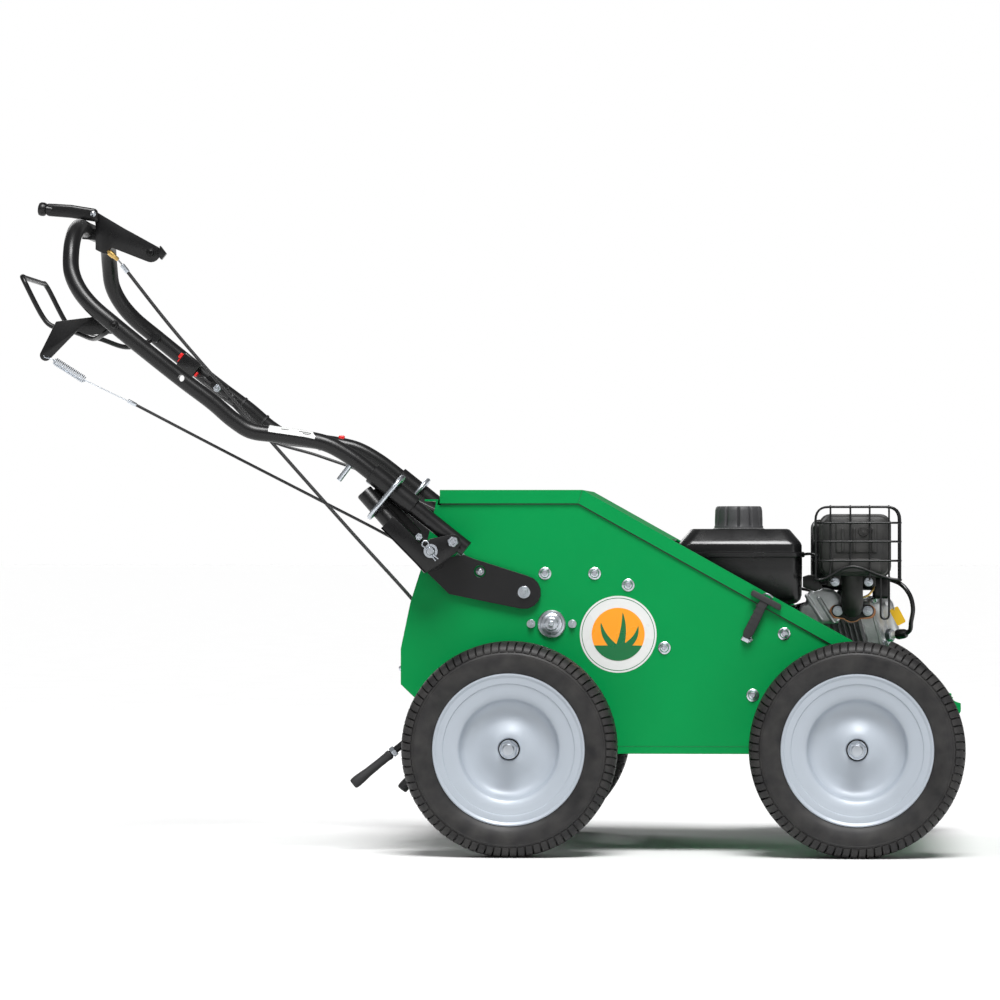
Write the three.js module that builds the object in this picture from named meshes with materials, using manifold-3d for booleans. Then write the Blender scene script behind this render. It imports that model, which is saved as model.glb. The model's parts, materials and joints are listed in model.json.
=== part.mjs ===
// A walk-behind core aerator: a sheet-metal housing on four flat-free wheels, with a small engine,
// a crank that drives four tine arms up and down, and a folding tube handle with its controls.
// Millimetres. +X is forward, +Y is the machine's left, +Z is up, and the wheels stand on Z = 0.
import * as THREE from "three";
import { mergeVertices } from "three/addons/utils/BufferGeometryUtils.js";
import Module from "manifold-3d";

const wasm = await Module();
wasm.setup();

// ---- Driving dimensions ----
const GAP = 0.3;                      // running or assembly gap between neighbouring pieces
const SHEET = 3;                      // gauge of the housing's sheet metal
const PANEL_Y = 235;                  // outer face of each side panel
const INSIDE_Y = PANEL_Y - SHEET;     // inner face of each side panel
const BETWEEN_Y = INSIDE_Y - GAP;     // half-width of what is fitted between the panels
const TOP_Z = 562.5;                  // top of the hood
const BOTTOM_Z = 154;                 // bottom edge of the housing
const SLOPE_START = [153, TOP_Z];     // where the hood's slope begins
const SLOPE_END = [725, 242];         // where it ends at the front

const WHEEL = { radius: 165, halfWidth: 47.5, y: 320, rearX: 45, frontX: 576, facets: 28 };
const AXLE_RADIUS = 10;
const AXLE_END = 367.5;               // half the machine's width, at the axle ends

const CRANK = { x: 105.5, z: 355, throw: 42, pin: 14, journal: 15, web: 56 };
const ARM_YS = [-175, -58, 58, 175];  // tine arms across the machine
const ARM_PHASES = [100, 280, 190, 10].map(THREE.MathUtils.degToRad);
const TINE_TIP_LOW = 27;              // height of a tine's tip at the bottom of its stroke
const TINE = { radius: 11, length: 88, spread: 29 };

const JACK = { x: 235, z: 300, pulley: 80, tineSprocket: 25, driveSprocket: 20 };
const ENGINE = { x: 400, z: 298, pulley: 38, deckZ: 192, tilt: THREE.MathUtils.degToRad(15) };
const CRANK_SPROCKET = 75;
const AXLE_SPROCKET = 45;
const BELT_Y = [-221, -205];
const TINE_CHAIN_Y = [205, 212];
const DRIVE_CHAIN_Y = [187, 194];

const HANDLE_Y = 277;                 // the handle legs and the lock posts
const TUBE = 12.7;                    // handle tube radius
const FOLD = [-43.6, 482.3];          // handle pivot
const POST = { low: [-79, 442], high: [-183, 560], radius: 13.5 };
const BAIL_PIVOT = [-570, 817];
const LEVER_PIVOT = [-537.5, 939.6];
const LEVER_Y = [-84, -80];
const PEDAL_PIVOT = [-11, 262];
const HOOD_HINGE = [-72, 556];        // the hood turns about this line at its rear edge

// ---- Materials ----
const finish = (color, roughness, metalness) =>
  new THREE.MeshStandardMaterial({ color, roughness, metalness });
const GREEN = finish(0x00a050, 0.35, 0);
const BLACK = finish(0x1c1c1e, 0.45, 0);
const RUBBER = finish(0x3a393b, 0.9, 0);
const SILVER_PAINT = finish(0xb4bcc6, 0.4, 0.3);
const ZINC = finish(0xc9ccd0, 0.3, 1);
const STEEL = finish(0x8a8d90, 0.45, 1);
const CAST_ALUMINIUM = finish(0xb8babb, 0.5, 1);
const PLASTIC = finish(0x18181a, 0.4, 0);
const RED = finish(0xe02020, 0.4, 0);

// ---- Shape helpers ----
const machine = new THREE.Group();
const vector = ([x, y, z]) => new THREE.Vector3(x, y, z);

// Only positions, with shared corners merged, no empty triangles, and faces that point out.
function tidied(geometry) {
  const bare = geometry.clone();
  for (const name of Object.keys(bare.attributes)) {
    if (name !== "position") bare.deleteAttribute(name);
  }
  const merged = mergeVertices(bare, 1e-3);
  const { array } = merged.index;
  const corner = (i) => new THREE.Vector3().fromBufferAttribute(merged.attributes.position, i);
  const faces = [];
  let volume = 0;
  for (let i = 0; i < array.length; i += 3) {
    const [a, b, c] = [array[i], array[i + 1], array[i + 2]];
    if (a === b || b === c || c === a) continue;
    volume += corner(a).dot(corner(b).cross(corner(c)));
    faces.push([a, b, c]);
  }
  const outward = faces.map(([a, b, c]) => (volume > 0 ? [a, b, c] : [a, c, b]));
  merged.setIndex(outward.flat());
  return merged;
}

function toSolid(geometry) {
  const shape = tidied(geometry);
  const vertProperties = new Float32Array(shape.attributes.position.array);
  const triVerts = new Uint32Array(shape.index.array);
  return new wasm.Manifold(new wasm.Mesh({ numProp: 3, vertProperties, triVerts }));
}

function fromSolid(solid) {
  const { vertProperties, triVerts } = solid.getMesh();
  const geometry = new THREE.BufferGeometry();
  geometry.setAttribute("position", new THREE.BufferAttribute(vertProperties, 3));
  geometry.setIndex(new THREE.BufferAttribute(triVerts, 1));
  return geometry;
}

const joined = (...shapes) => fromSolid(shapes.map(toSolid).reduce((whole, next) => whole.add(next)));

const cutBy = (shape, ...tools) =>
  fromSolid(tools.map(toSolid).reduce((left, tool) => left.subtract(tool), toSolid(shape)));

function box([x0, x1], [y0, y1], [z0, z1]) {
  const geometry = new THREE.BoxGeometry(x1 - x0, y1 - y0, z1 - z0);
  return geometry.translate((x0 + x1) / 2, (y0 + y1) / 2, (z0 + z1) / 2);
}

// A round bar or cone from one point to another.
function rod(from, to, radius, sides = 12, endRadius = radius) {
  const along = vector(to).sub(vector(from));
  const geometry = new THREE.CylinderGeometry(endRadius, radius, along.length(), sides);
  geometry.translate(0, along.length() / 2, 0);
  const turn = new THREE.Quaternion().setFromUnitVectors(new THREE.Vector3(0, 1, 0), along.normalize());
  return geometry.applyQuaternion(turn).translate(...from);
}

// A bar along Y, centred on a point of the side view.
const crossBar = ([x, z], y0, y1, radius, sides = 12) => rod([x, y0, z], [x, y1, z], radius, sides);

function outline(points, holes = []) {
  const shape = new THREE.Shape(points.map(([a, b]) => new THREE.Vector2(a, b)));
  const ring = ({ at, radius }) => new THREE.Path().absarc(at[0], at[1], radius, 0, 2 * Math.PI);
  shape.holes = holes.map(ring);
  return shape;
}

const flatExtrude = (shape, depth) =>
  new THREE.ExtrudeGeometry(shape, { depth, bevelEnabled: false, curveSegments: 6 });

// A flat plate drawn in side view (x, z), thick from y0 to y1.
function sidePlate(points, y0, y1, holes = []) {
  const geometry = flatExtrude(outline(points, holes), y1 - y0);
  return geometry.rotateX(Math.PI / 2).translate(0, y1, 0);
}

// A flat plate drawn in plan (x, y), thick from z0 to z1.
function floorPlate(points, z0, z1, holes = []) {
  return flatExtrude(outline(points, holes), z1 - z0).translate(0, 0, z0);
}

// The outline of a bent sheet: a line of points and the same line moved sideways by its thickness.
function bentSheet(points, thickness) {
  const normals = points.slice(1).map(([x, z], i) => {
    const along = new THREE.Vector2(x - points[i][0], z - points[i][1]).normalize();
    return new THREE.Vector2(-along.y, along.x);
  });
  const moved = points.map(([x, z], i) => {
    const before = normals[Math.max(i - 1, 0)];
    const after = normals[Math.min(i, normals.length - 1)];
    const mitre = before.clone().add(after).multiplyScalar(thickness / (1 + before.dot(after)));
    return [x + mitre.x, z + mitre.y];
  });
  return [...points, ...moved.reverse()];
}

function arcPoints([x, z], radius, fromDegrees, toDegrees, steps) {
  return Array.from({ length: steps + 1 }, (_, i) => {
    const angle = THREE.MathUtils.degToRad(fromDegrees + ((toDegrees - fromDegrees) * i) / steps);
    return [x + radius * Math.cos(angle), z + radius * Math.sin(angle)];
  });
}

// A round wire or tube along a smooth line through the points.
function wire(points, radius, sides, steps) {
  const path = new THREE.CatmullRomCurve3(points.map(vector), false, "centripetal");
  const section = outline(arcPoints([0, 0], radius, 0, 360, sides).slice(1));
  return new THREE.ExtrudeGeometry(section, { steps, extrudePath: path });
}

// A body turned about a line along Y: [radius, y] pairs round a closed or axis-to-axis profile.
function turned(profile, segments, start = 0) {
  const points = profile.map(([radius, y]) => new THREE.Vector2(radius, y));
  return new THREE.LatheGeometry(points, segments, start);
}

const closed = (profile) => [...profile, profile[0]];

function add(name, geometry, material, parent = machine) {
  const mesh = new THREE.Mesh(tidied(geometry), material);
  mesh.name = name;
  parent.add(mesh);
  return mesh;
}

function group(x, y, z, parent = machine) {
  const place = new THREE.Group();
  place.position.set(x, y, z);
  parent.add(place);
  return place;
}

// Both sides of a symmetric pair: makes the right one, then its mirror image on the left.
function addPair(name, geometry, material) {
  add(`${name}_right`, geometry, material);
  add(`${name}_left`, geometry.clone().scale(1, -1, 1), material);
}

// The loop of a belt or chain round two wheels, as a flat ring of the given thickness.
function loopRing([x1, z1], r1, [x2, z2], r2, thickness, y0, y1) {
  const distance = Math.hypot(x2 - x1, z2 - z1);
  const heading = THREE.MathUtils.radToDeg(Math.atan2(z2 - z1, x2 - x1));
  const open = THREE.MathUtils.radToDeg(Math.acos((r1 - r2) / distance));
  const steps = 14;
  const outside = (radius) => radius / Math.cos(Math.PI / (2 * steps));
  const around = (grow) => [
    ...arcPoints([x1, z1], outside(r1 + grow), heading + open, heading + 360 - open, steps),
    ...arcPoints([x2, z2], outside(r2 + grow), heading - open, heading + open, steps),
  ];
  const ring = sidePlate(around(thickness), y0, y1);
  return cutBy(ring, sidePlate(around(0), y0 - 1, y1 + 1));
}

// ---- Housing ----
const SLOPE = (SLOPE_END[1] - SLOPE_START[1]) / (SLOPE_END[0] - SLOPE_START[0]);
const slopeZ = (x) => SLOPE_START[1] + SLOPE * (x - SLOPE_START[0]);
const REAR_EDGE = [[-75, 542], [-98, 438], [-114, 388], [-129, 316], [-129, 261], [-105, 238]];
const HOOD_SHEET = 2.5;
const UNDER_HOOD = HOOD_SHEET + 1;    // how far the panels' top edges lie below the hood's skin
const FRONT_EDGE = [[700, BOTTOM_Z], [737, 221], [737, 233]];

// The panel dips below its bottom edge to carry an axle.
const axleEar = (x) =>
  [[x - 45, BOTTOM_Z], [x - 30, BOTTOM_Z - 20], [x + 30, BOTTOM_Z - 20], [x + 45, BOTTOM_Z]];

function addSidePanels() {
  const hingeClearance = 17.5;
  const edge = [
    ...arcPoints(HOOD_HINGE, hingeClearance, 9, -93, 6),
    [-75, 538],
    ...REAR_EDGE.slice(1),
    [-22, BOTTOM_Z],
    ...axleEar(WHEEL.rearX),
    ...axleEar(WHEEL.frontX),
    ...FRONT_EDGE,
    [SLOPE_END[0], SLOPE_END[1] - UNDER_HOOD - 1],
    [SLOPE_START[0], TOP_Z - UNDER_HOOD - 1],
  ];
  const holes = [
    { at: [WHEEL.rearX, WHEEL.radius], radius: AXLE_RADIUS + 1 },
    { at: [WHEEL.frontX, WHEEL.radius], radius: AXLE_RADIUS + 2 },
    { at: [CRANK.x, CRANK.z], radius: 18 },
  ];
  addPair("side_panel", sidePlate(edge, -PANEL_Y, -INSIDE_Y, holes), GREEN);
}

// Where each control cable goes through the rear panel, and how steeply it falls there.
const CABLE_HOLES = {
  tine: { at: [-96, -215, 460], slope: -0.6 },
  drive: { at: [-114, -62, 379], slope: -1.18 },
  throttle: { at: [-80, 205, 524], slope: -0.42 },
};

function addRearPanel() {
  const inset = REAR_EDGE.slice(0, 5).map(([x, z]) => [x + 1, z]);
  const lip = [[-92, 545], [-74, 545]];
  const skin = sidePlate(bentSheet([...lip, ...inset.slice(1)], SHEET), -BETWEEN_Y, BETWEEN_Y);
  const holes = Object.values(CABLE_HOLES).map(({ at: [x, y, z], slope }) =>
    rod([x - 25, y, z - 25 * slope], [x + 25, y, z + 25 * slope], 7, 8));
  add("rear_panel", cutBy(skin, ...holes), GREEN);
}

function addFrontPanel() {
  const bumper = bentSheet([[664, BOTTOM_Z + 2], [697, BOTTOM_Z + 2], [733, 221], [733, 231]], SHEET);
  add("front_panel", sidePlate(bumper, -BETWEEN_Y, BETWEEN_Y), GREEN);
}

function addEngineDeck() {
  const plan = [[262, -BETWEEN_Y], [700, -BETWEEN_Y], [700, BETWEEN_Y], [262, BETWEEN_Y]];
  const plate = floorPlate(plan, ENGINE.deckZ - 4, ENGINE.deckZ);
  const lip = box([262, 266], [-BETWEEN_Y, BETWEEN_Y], [ENGINE.deckZ - 22, ENGINE.deckZ - 3]);
  const chainSlot = box([255, 645], [DRIVE_CHAIN_Y[0] - 8, TINE_CHAIN_Y[1] + 6], [140, 230]);
  add("engine_deck", cutBy(joined(plate, lip), chainSlot), GREEN);
}

const ENGINE_BAY = { x: [290, 668], halfWidth: 190 };

function addHood() {
  const line = [[-68, TOP_Z - 21], [-68, TOP_Z], SLOPE_START, SLOPE_END];
  const skin = sidePlate(bentSheet(line, -HOOD_SHEET), -PANEL_Y - 4, PANEL_Y + 4);
  const bay = box(ENGINE_BAY.x, [-ENGINE_BAY.halfWidth, ENGINE_BAY.halfWidth], [150, 700]);
  const flangeEdge = [
    [-68, TOP_Z], SLOPE_START, SLOPE_END, [714, 226], [147, TOP_Z - 21], [-68, TOP_Z - 21],
  ];
  const flange = (y) => sidePlate(flangeEdge, y, y + HOOD_SHEET);
  add("hood", cutBy(joined(skin, flange(-PANEL_Y - 4), flange(PANEL_Y + 4 - HOOD_SHEET)), bay), GREEN);
}

// ---- Wheels ----
function tyreShape() {
  const { radius, halfWidth, facets } = WHEEL;
  const grow = 1 / Math.cos(Math.PI / facets);
  const half = [[118, 38], [140, halfWidth], [160, 42], [radius, 31]];
  const other = half.map(([r, y]) => [r, -y]).reverse();
  const profile = [...half, ...other].map(([r, y]) => [r * grow, y]);
  return turned(closed(profile), facets, Math.PI / facets);
}

// The pressed rim, with its dished side at negative Y.
function rimShape() {
  const front = [[117, -40], [105, -39], [78, -28], [73, -16], [45, -14], [24, -22], [10.5, -22]];
  const back = [[10.5, 32], [22, 32], [22, -11], [71, -11], [109, -30], [109, 38], [117, 38]];
  return turned(closed([...front, ...back]), 14);
}

function addWheel(name, x, side) {
  const place = group(x, side * WHEEL.y, WHEEL.radius);
  add(`tyre_${name}`, tyreShape(), RUBBER, place);
  add(`rim_${name}`, rimShape().scale(1, -side, 1), SILVER_PAINT, place);
}

const hubNut = (at, side) => crossBar(at, side * 342.5, side * 358, 14.4, 6);

function addAxles() {
  const front = [WHEEL.frontX, WHEEL.radius];
  const shaft = crossBar(front, -AXLE_END, AXLE_END, AXLE_RADIUS);
  const sprocket = crossBar(front, ...DRIVE_CHAIN_Y, AXLE_SPROCKET, 24);
  add("front_axle", joined(shaft, sprocket, hubNut(front, -1), hubNut(front, 1)), STEEL);
  const rear = [WHEEL.rearX, WHEEL.radius];
  const stub = crossBar(rear, -AXLE_END, -222, AXLE_RADIUS);
  const flange = crossBar(rear, -BETWEEN_Y, -222, 32, 16);
  addPair("rear_axle", joined(stub, flange, hubNut(rear, -1)), STEEL);
}

// ---- Tine drive ----
const crankAt = (phase) =>
  [CRANK.x + CRANK.throw * Math.cos(phase), CRANK.z + CRANK.throw * Math.sin(phase)];

function addCrankBearings() {
  const cap = [[0, -251], [6, -251], [6, -247], [15, -244], [21.5, -240], [21.5, -PANEL_Y - GAP]];
  const neck = [[17.5, -PANEL_Y - GAP], [17.5, -BETWEEN_Y]];
  const seat = [[38, -BETWEEN_Y], [38, -222], [16, -222], [16, -236], [0, -236]];
  const profile = [...cap, ...neck, ...seat];
  addPair("crank_bearing", turned(profile, 12).translate(CRANK.x, 0, CRANK.z), ZINC);
}

function addCrankshaft() {
  const axis = [CRANK.x, CRANK.z];
  const ends = 227;
  const pinHalf = 14;
  const webWidth = 9;
  const pieces = [];
  let from = -ends;
  ARM_YS.forEach((y, i) => {
    const web = (y0) => crossBar(axis, y0, y0 + webWidth, CRANK.web, 14);
    pieces.push(crossBar(axis, from, y - pinHalf - 1, CRANK.journal));
    pieces.push(web(y - pinHalf - webWidth), web(y + pinHalf));
    pieces.push(crossBar(crankAt(ARM_PHASES[i]), y - pinHalf - 1, y + pinHalf + 1, CRANK.pin));
    from = y + pinHalf + 1;
  });
  pieces.push(crossBar(axis, from, ends, CRANK.journal));
  pieces.push(crossBar(axis, ...TINE_CHAIN_Y, CRANK_SPROCKET, 28));
  add("crankshaft", joined(...pieces), STEEL);
}

// A tine arm hangs from its crank pin and carries a holder with two hollow coring tines.
function addTineArm(number, y, phase) {
  const pin = crankAt(phase);
  const bottom = TINE_TIP_LOW - (CRANK.z - CRANK.throw);
  const holderZ = bottom + TINE.length;
  const halfBar = 7;
  const bigEnd = cutBy(crossBar([0, 0], -12, 12, 25, 12), crossBar([0, 0], -13, 13, CRANK.pin + 0.9));
  const bar = box([-12, 12], [-halfBar, halfBar], [holderZ + 5, -19]);
  const holder = box([-17, 17], [-TINE.spread - 12, TINE.spread + 12], [holderZ, holderZ + 24]);
  const tine = (side) => {
    const tube = rod([0, side, bottom], [0, side, holderZ + 5], TINE.radius, 8);
    const bore = rod([0, side, bottom - 1], [0, side, bottom + 70], TINE.radius - 2.8, 8);
    const window = box([2, 14], [side - 7, side + 7], [bottom + 28, bottom + 68]);
    return cutBy(tube, bore, window);
  };
  const place = group(pin[0], y, pin[1]);
  const arm = joined(bigEnd, bar, holder, tine(-TINE.spread), tine(TINE.spread));
  add(`tine_arm_${number}`, arm, STEEL, place);
}

function addDrive() {
  const jack = [JACK.x, JACK.z];
  const engine = [ENGINE.x, ENGINE.z];
  const shaft = crossBar(jack, -BETWEEN_Y + 1, BETWEEN_Y - 1, 10);
  const pulley = crossBar(jack, ...BELT_Y, JACK.pulley, 28);
  const tineSprocket = crossBar(jack, ...TINE_CHAIN_Y, JACK.tineSprocket, 18);
  const driveSprocket = crossBar(jack, ...DRIVE_CHAIN_Y, JACK.driveSprocket, 18);
  add("jackshaft", joined(shaft, pulley, tineSprocket, driveSprocket), STEEL);
  const output = crossBar(engine, BELT_Y[0] - 3, -151, AXLE_RADIUS);
  add("engine_pulley", joined(output, crossBar(engine, ...BELT_Y, ENGINE.pulley, 20)), STEEL);
  const crank = [CRANK.x, CRANK.z];
  const axle = [WHEEL.frontX, WHEEL.radius];
  const thick = 6;
  const loop = (from, fromRadius, to, toRadius, ys) =>
    loopRing(from, fromRadius + 0.6, to, toRadius + 0.6, thick, ...ys);
  add("drive_belt", loop(jack, JACK.pulley, engine, ENGINE.pulley, BELT_Y), RUBBER);
  add("tine_chain", loop(crank, CRANK_SPROCKET, jack, JACK.tineSprocket, TINE_CHAIN_Y), STEEL);
  add("drive_chain", loop(axle, AXLE_SPROCKET, jack, JACK.driveSprocket, DRIVE_CHAIN_Y), STEEL);
}

const IDLER = { pivot: [384, 216], roller: [330, 214], radius: 15 };

function addIdlerArm() {
  const { pivot, roller, radius } = IDLER;
  const hub = crossBar(pivot, -230, -196, 9);
  const from = [[roller[0], roller[1] + 8], [roller[0], roller[1] - 8]];
  const to = [[pivot[0], pivot[1] - 9], [pivot[0], pivot[1] + 9]];
  const arm = sidePlate([...from, ...to], -202, -197);
  add("idler_arm", joined(hub, arm, crossBar(roller, BELT_Y[0], -199, radius, 16)), ZINC);
}

// ---- Engine ----
function alongCylinder(geometry) {
  return geometry.rotateY(-ENGINE.tilt).translate(ENGINE.x, 0, ENGINE.z);
}

function addEngineBlock() {
  const bottom = ENGINE.deckZ + GAP;
  const section = [
    [312, bottom], [488, bottom], [488, 210], [476, 216], [484, 300],
    [470, 366], [345, 372], [320, 340], [322, 216], [312, 210],
  ];
  const block = sidePlate(section, -100, 100);
  const cover = crossBar([ENGINE.x, ENGINE.z], -150, -99, 72, 20);
  const barrel = alongCylinder(box([60, 196], [-46, 46], [-46, 46]));
  const fin = (u) => alongCylinder(box([u, u + 3], [-58, 58], [-56, 56]));
  const fins = [92, 106, 120, 134, 148, 162, 176].map(fin);
  const port = rod([570, -69, 370], [570, -45, 370], 17, 12);
  add("crankcase", joined(block, cover, barrel, ...fins, port), CAST_ALUMINIUM);
  const cap = alongCylinder(box([197, 232], [-44, 44], [-40, 40]));
  const lid = alongCylinder(box([231, 250], [-36, 36], [-32, 32]));
  add("valve_cover", joined(cap, lid), CAST_ALUMINIUM);
}

function addBlowerHousing() {
  const drum = crossBar([ENGINE.x, ENGINE.z], 100 + GAP, 150, 98, 24);
  const screen = crossBar([ENGINE.x, ENGINE.z], 149, 158, 62, 20);
  const ropeExit = box([336, 362], [120, 180], [375, 404]);
  const duct = alongCylinder(box([40, 130], [62, 118], [-52, 58]));
  const trunk = cutBy(duct, box([250, 486], [40, 100 + GAP], [180, 420]));
  add("blower_housing", joined(drum, screen, trunk, ropeExit), PLASTIC);
  const bar = rod([300, 172, 428], [398, 172, 428], 10, 10);
  add("starter_grip", joined(bar, rod([349, 172, 408], [349, 172, 424], 7, 8)), PLASTIC);
}

const TANK = { x: [298, 493], y: [-115, 97], bottom: 384, seam: 461.5, shoulder: 478, top: 502 };
const CAP = [392.6, -8];

function addFuelTank() {
  const { x: [x0, x1], y: [y0, y1], bottom, seam, shoulder, top } = TANK;
  const section = [
    [x0 + 10, bottom], [x1 - 10, bottom], [x1, bottom + 12], [x1, shoulder],
    [x1 - 22, top], [x0 + 18, top], [x0, shoulder], [x0, bottom + 12],
  ];
  const rim = box([x0 - 4, x1 + 4], [y0 - 4, y1 + 4], [seam - 4, seam + 4]);
  add("fuel_tank", joined(sidePlate(section, y0, y1), rim), PLASTIC);
  const lobes = Array.from({ length: 10 }, (_, i) => {
    const angle = (i * Math.PI) / 5;
    const [x, y] = [34 * Math.cos(angle), 34 * Math.sin(angle)];
    return rod([CAP[0] + x, CAP[1] + y, top + 4], [CAP[0] + x, CAP[1] + y, 538], 5, 6);
  });
  const body = rod([CAP[0], CAP[1], top + GAP], [CAP[0], CAP[1], 538], 35, 20);
  add("fuel_cap", joined(body, ...lobes), PLASTIC);
}

const MUFFLER = { x: [522, 630], y: [-150, -52], z: [428, 523] };

function addExhaust() {
  const [x0, x1] = MUFFLER.x;
  const [z0, z1] = MUFFLER.z;
  const canEnd = [
    [x0 + 14, z0], [x1 - 14, z0], [x1, z0 + 16], [x1, z1 - 16],
    [x1 - 14, z1], [x0 + 14, z1], [x0, z1 - 16], [x0, z0 + 16],
  ];
  const can = sidePlate(canEnd, ...MUFFLER.y);
  const bend = [[570, -75, 378], [570, -86, 379], [570, -98, 385], [570, -103, 398], [570, -103, 435]];
  const elbow = wire(bend, 16, 12, 10);
  const flangeEdge = [
    [541, 368], [552, 357], [590, 357], [603, 368], [603, 380], [590, 390], [552, 390], [541, 380],
  ];
  const flange = sidePlate(flangeEdge, -79, -70);
  add("muffler", joined(can, elbow, flange), BLACK);
}

const GUARD = {
  x: [514, 645.5],
  y: [-161, -45],
  top: 536.5,
  levels: [511.5, 482.4, 452.4, 422.4],
  wire: 1.7,
};

// The guard is a cage of square wires.
function addMufflerGuard() {
  const { x: [x0, x1], y: [y0, y1], top, levels, wire: half } = GUARD;
  const archTop = 443;
  const arch = [545, 588];
  const lowest = levels[levels.length - 1];
  const around = (value, size) => [value - size, value + size];
  const along = (from, to, y, z) => box([from - half, to + half], around(y, half), around(z, half));
  const across = (x, z) => box(around(x, half), [y0 - half, y1 + half], around(z, half));
  const up = (x, y, from, to) => box(around(x, half), around(y, half), [from - half, to + half]);
  const wires = [along(x0, x1, y1, top)];
  for (const z of [top, ...levels]) {
    wires.push(across(x0, z), across(x1, z));
    if (z > lowest) wires.push(along(x0, x1, y0, z));
  }
  wires.push(along(x0, arch[0], y0, lowest), along(arch[1], x1, y0, lowest), along(...arch, y0, archTop));
  wires.push(up(arch[0], y0, lowest, archTop), up(arch[1], y0, lowest, archTop));
  for (const x of [x0, 537, 567, 598, 628, x1]) {
    wires.push(up(x, y0, x === 567 ? archTop : lowest, top), across(x, top));
  }
  wires.push(up(x0, y1, lowest, top), up(x1, y1, lowest, top));
  wires.push(up(615, y0, 366, lowest), up(628, y0, 366, lowest), along(615, 628, y0, 366));
  add("muffler_guard", joined(...wires), BLACK);
}

function addAirCleaner() {
  const section = [
    [512, 405], [612, 405], [620, 416], [620, 500], [604, 516], [524, 516], [508, 500], [508, 416],
  ];
  const intake = box([545, 584], [60, 92], [350, 406]);
  add("air_cleaner", joined(sidePlate(section, -18, 92), intake), PLASTIC);
}

// ---- Handle ----
const rest = (t, from, to) => from.map((value, i) => value + (to[i] - value) * t);

function addHandleArms() {
  const front = arcPoints([63, 404], 26, 78, -100, 8);
  const edge = [...front, [-53, 401], [-87, 434], [-61, 457], [-30, 462], [-15.5, 456]];
  const boltHole = { at: [-5.6, 436.4], radius: 9.4 };
  const plate = sidePlate(edge, -244, -PANEL_Y - GAP, [boltHole]);
  const boss = crossBar([-72, 448], -256, -243, 9);
  addPair("handle_arm", joined(plate, boss), BLACK);
}

function addLockPosts() {
  const high = [POST.high[0], -HANDLE_Y, POST.high[1]];
  const low = [POST.low[0], -HANDLE_Y, POST.low[1]];
  const post = rod(high, low, POST.radius, 10);
  const cheekEdge = [
    [-155, 503], [-87, 434], [-66, 447], [-34, 470],
    ...arcPoints(FOLD, 12, -50, 90, 5),
    [-78, 487], [-92, 478], [-136, 522],
  ];
  const cheek = (y) => sidePlate(cheekEdge, y, y + 3.7, [{ at: FOLD, radius: 4.6 }]);
  const web = sidePlate([[-155, 503], [-87, 434], [-85, 436.5], [-153, 505.5]], -297, -256.3);
  const pin = crossBar([-78, 466], -303, -252, 5, 10);
  addPair("lock_post", joined(post, cheek(-297), cheek(-260), web, pin), BLACK);
}

const HANDLE_LEG = [
  [-24.5, 277, 471], [-105, 277, 535], [-170, 277, 588], [-206, 276, 615], [-239, 275.5, 633],
  [-271, 275, 641], [-320, 274, 648], [-359, 273, 654], [-385, 273, 670], [-418, 272, 698],
  [-466, 271, 734], [-570, 270, 817], [-609, 262, 850], [-630, 252, 876], [-642, 237, 903],
  [-646, 212, 934], [-645, 172, 962], [-642, 130, 975], [-641, 90, 976.5],
];

const mirrored = (points) => points.map(([x, y, z]) => [x, -y, z]);

function addHandlebar() {
  const tube = wire([...mirrored(HANDLE_LEG), ...[...HANDLE_LEG].reverse()], TUBE, 8, 60);
  const pieces = [tube];
  for (const y of [-HANDLE_Y, HANDLE_Y]) {
    pieces.push(rod([-105, y, 536.5], [-170, y, 588.5], 16.2, 12));
    pieces.push(rod([-198, y, 609], [-222, y, 577], 3.5, 8));
  }
  const bracket = [[-648, 962], [-600, 958], [-530, 934], [-532, 946], [-600, 975], [-640, 980]];
  pieces.push(sidePlate(bracket, LEVER_Y[1] + GAP, LEVER_Y[1] + 4));
  const drilled = crossBar([-466, 735], -290, -250, 4.5, 10);
  const foldBolts = [-HANDLE_Y, HANDLE_Y].map((y) => crossBar([FOLD[0], FOLD[1]], y - 20, y + 20, 4.6, 10));
  add("handlebar", cutBy(joined(...pieces), drilled, ...foldBolts), BLACK);
}

const RING = { centre: [-148, 551], halfLength: 40, halfWidth: 21.5, wire: 3.9 };

// The lock ring is a stadium-shaped loop of rod, square to the handle leg, round the leg and the post.
function addLockRings() {
  const { centre, halfLength, halfWidth, wire: radius } = RING;
  const across = new THREE.Vector2(0.64, 0.768);
  const corner = halfLength - halfWidth;
  const plan = [
    ...arcPoints([corner, 0], halfWidth, -90, 90, 6),
    ...arcPoints([-corner, 0], halfWidth, 90, 270, 6),
  ];
  const points = plan.map(([u, v]) =>
    new THREE.Vector3(centre[0] + across.x * u, -HANDLE_Y + v, centre[1] + across.y * u));
  const path = new THREE.CatmullRomCurve3(points, true, "centripetal");
  addPair("lock_ring", new THREE.TubeGeometry(path, 20, radius, 6, true), ZINC);
}

function addDriveLever() {
  const plate = [
    [-629.5, 1008], [-579, 978], [-566, 971], [-528, 950],
    ...arcPoints(LEVER_PIVOT, 15, 40, -110, 5),
    [-600, 948], [-605.6, 938], [-626, 945], [-626, 984],
  ];
  const grip = sidePlate([[-706, 1020.5], [-622, 1009], [-620, 988], [-706, 997]], -96, -82);
  const tab = sidePlate([[-522, 951], [-512, 938], [-520, 928], [-527, 936]], -92, LEVER_Y[1]);
  const knob = rod([-706.5, -90, 1008.6], [-716, -90, 1009.7], 11, 12);
  add("drive_lever", joined(sidePlate(plate, ...LEVER_Y), grip, knob, tab), BLACK);
}

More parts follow.
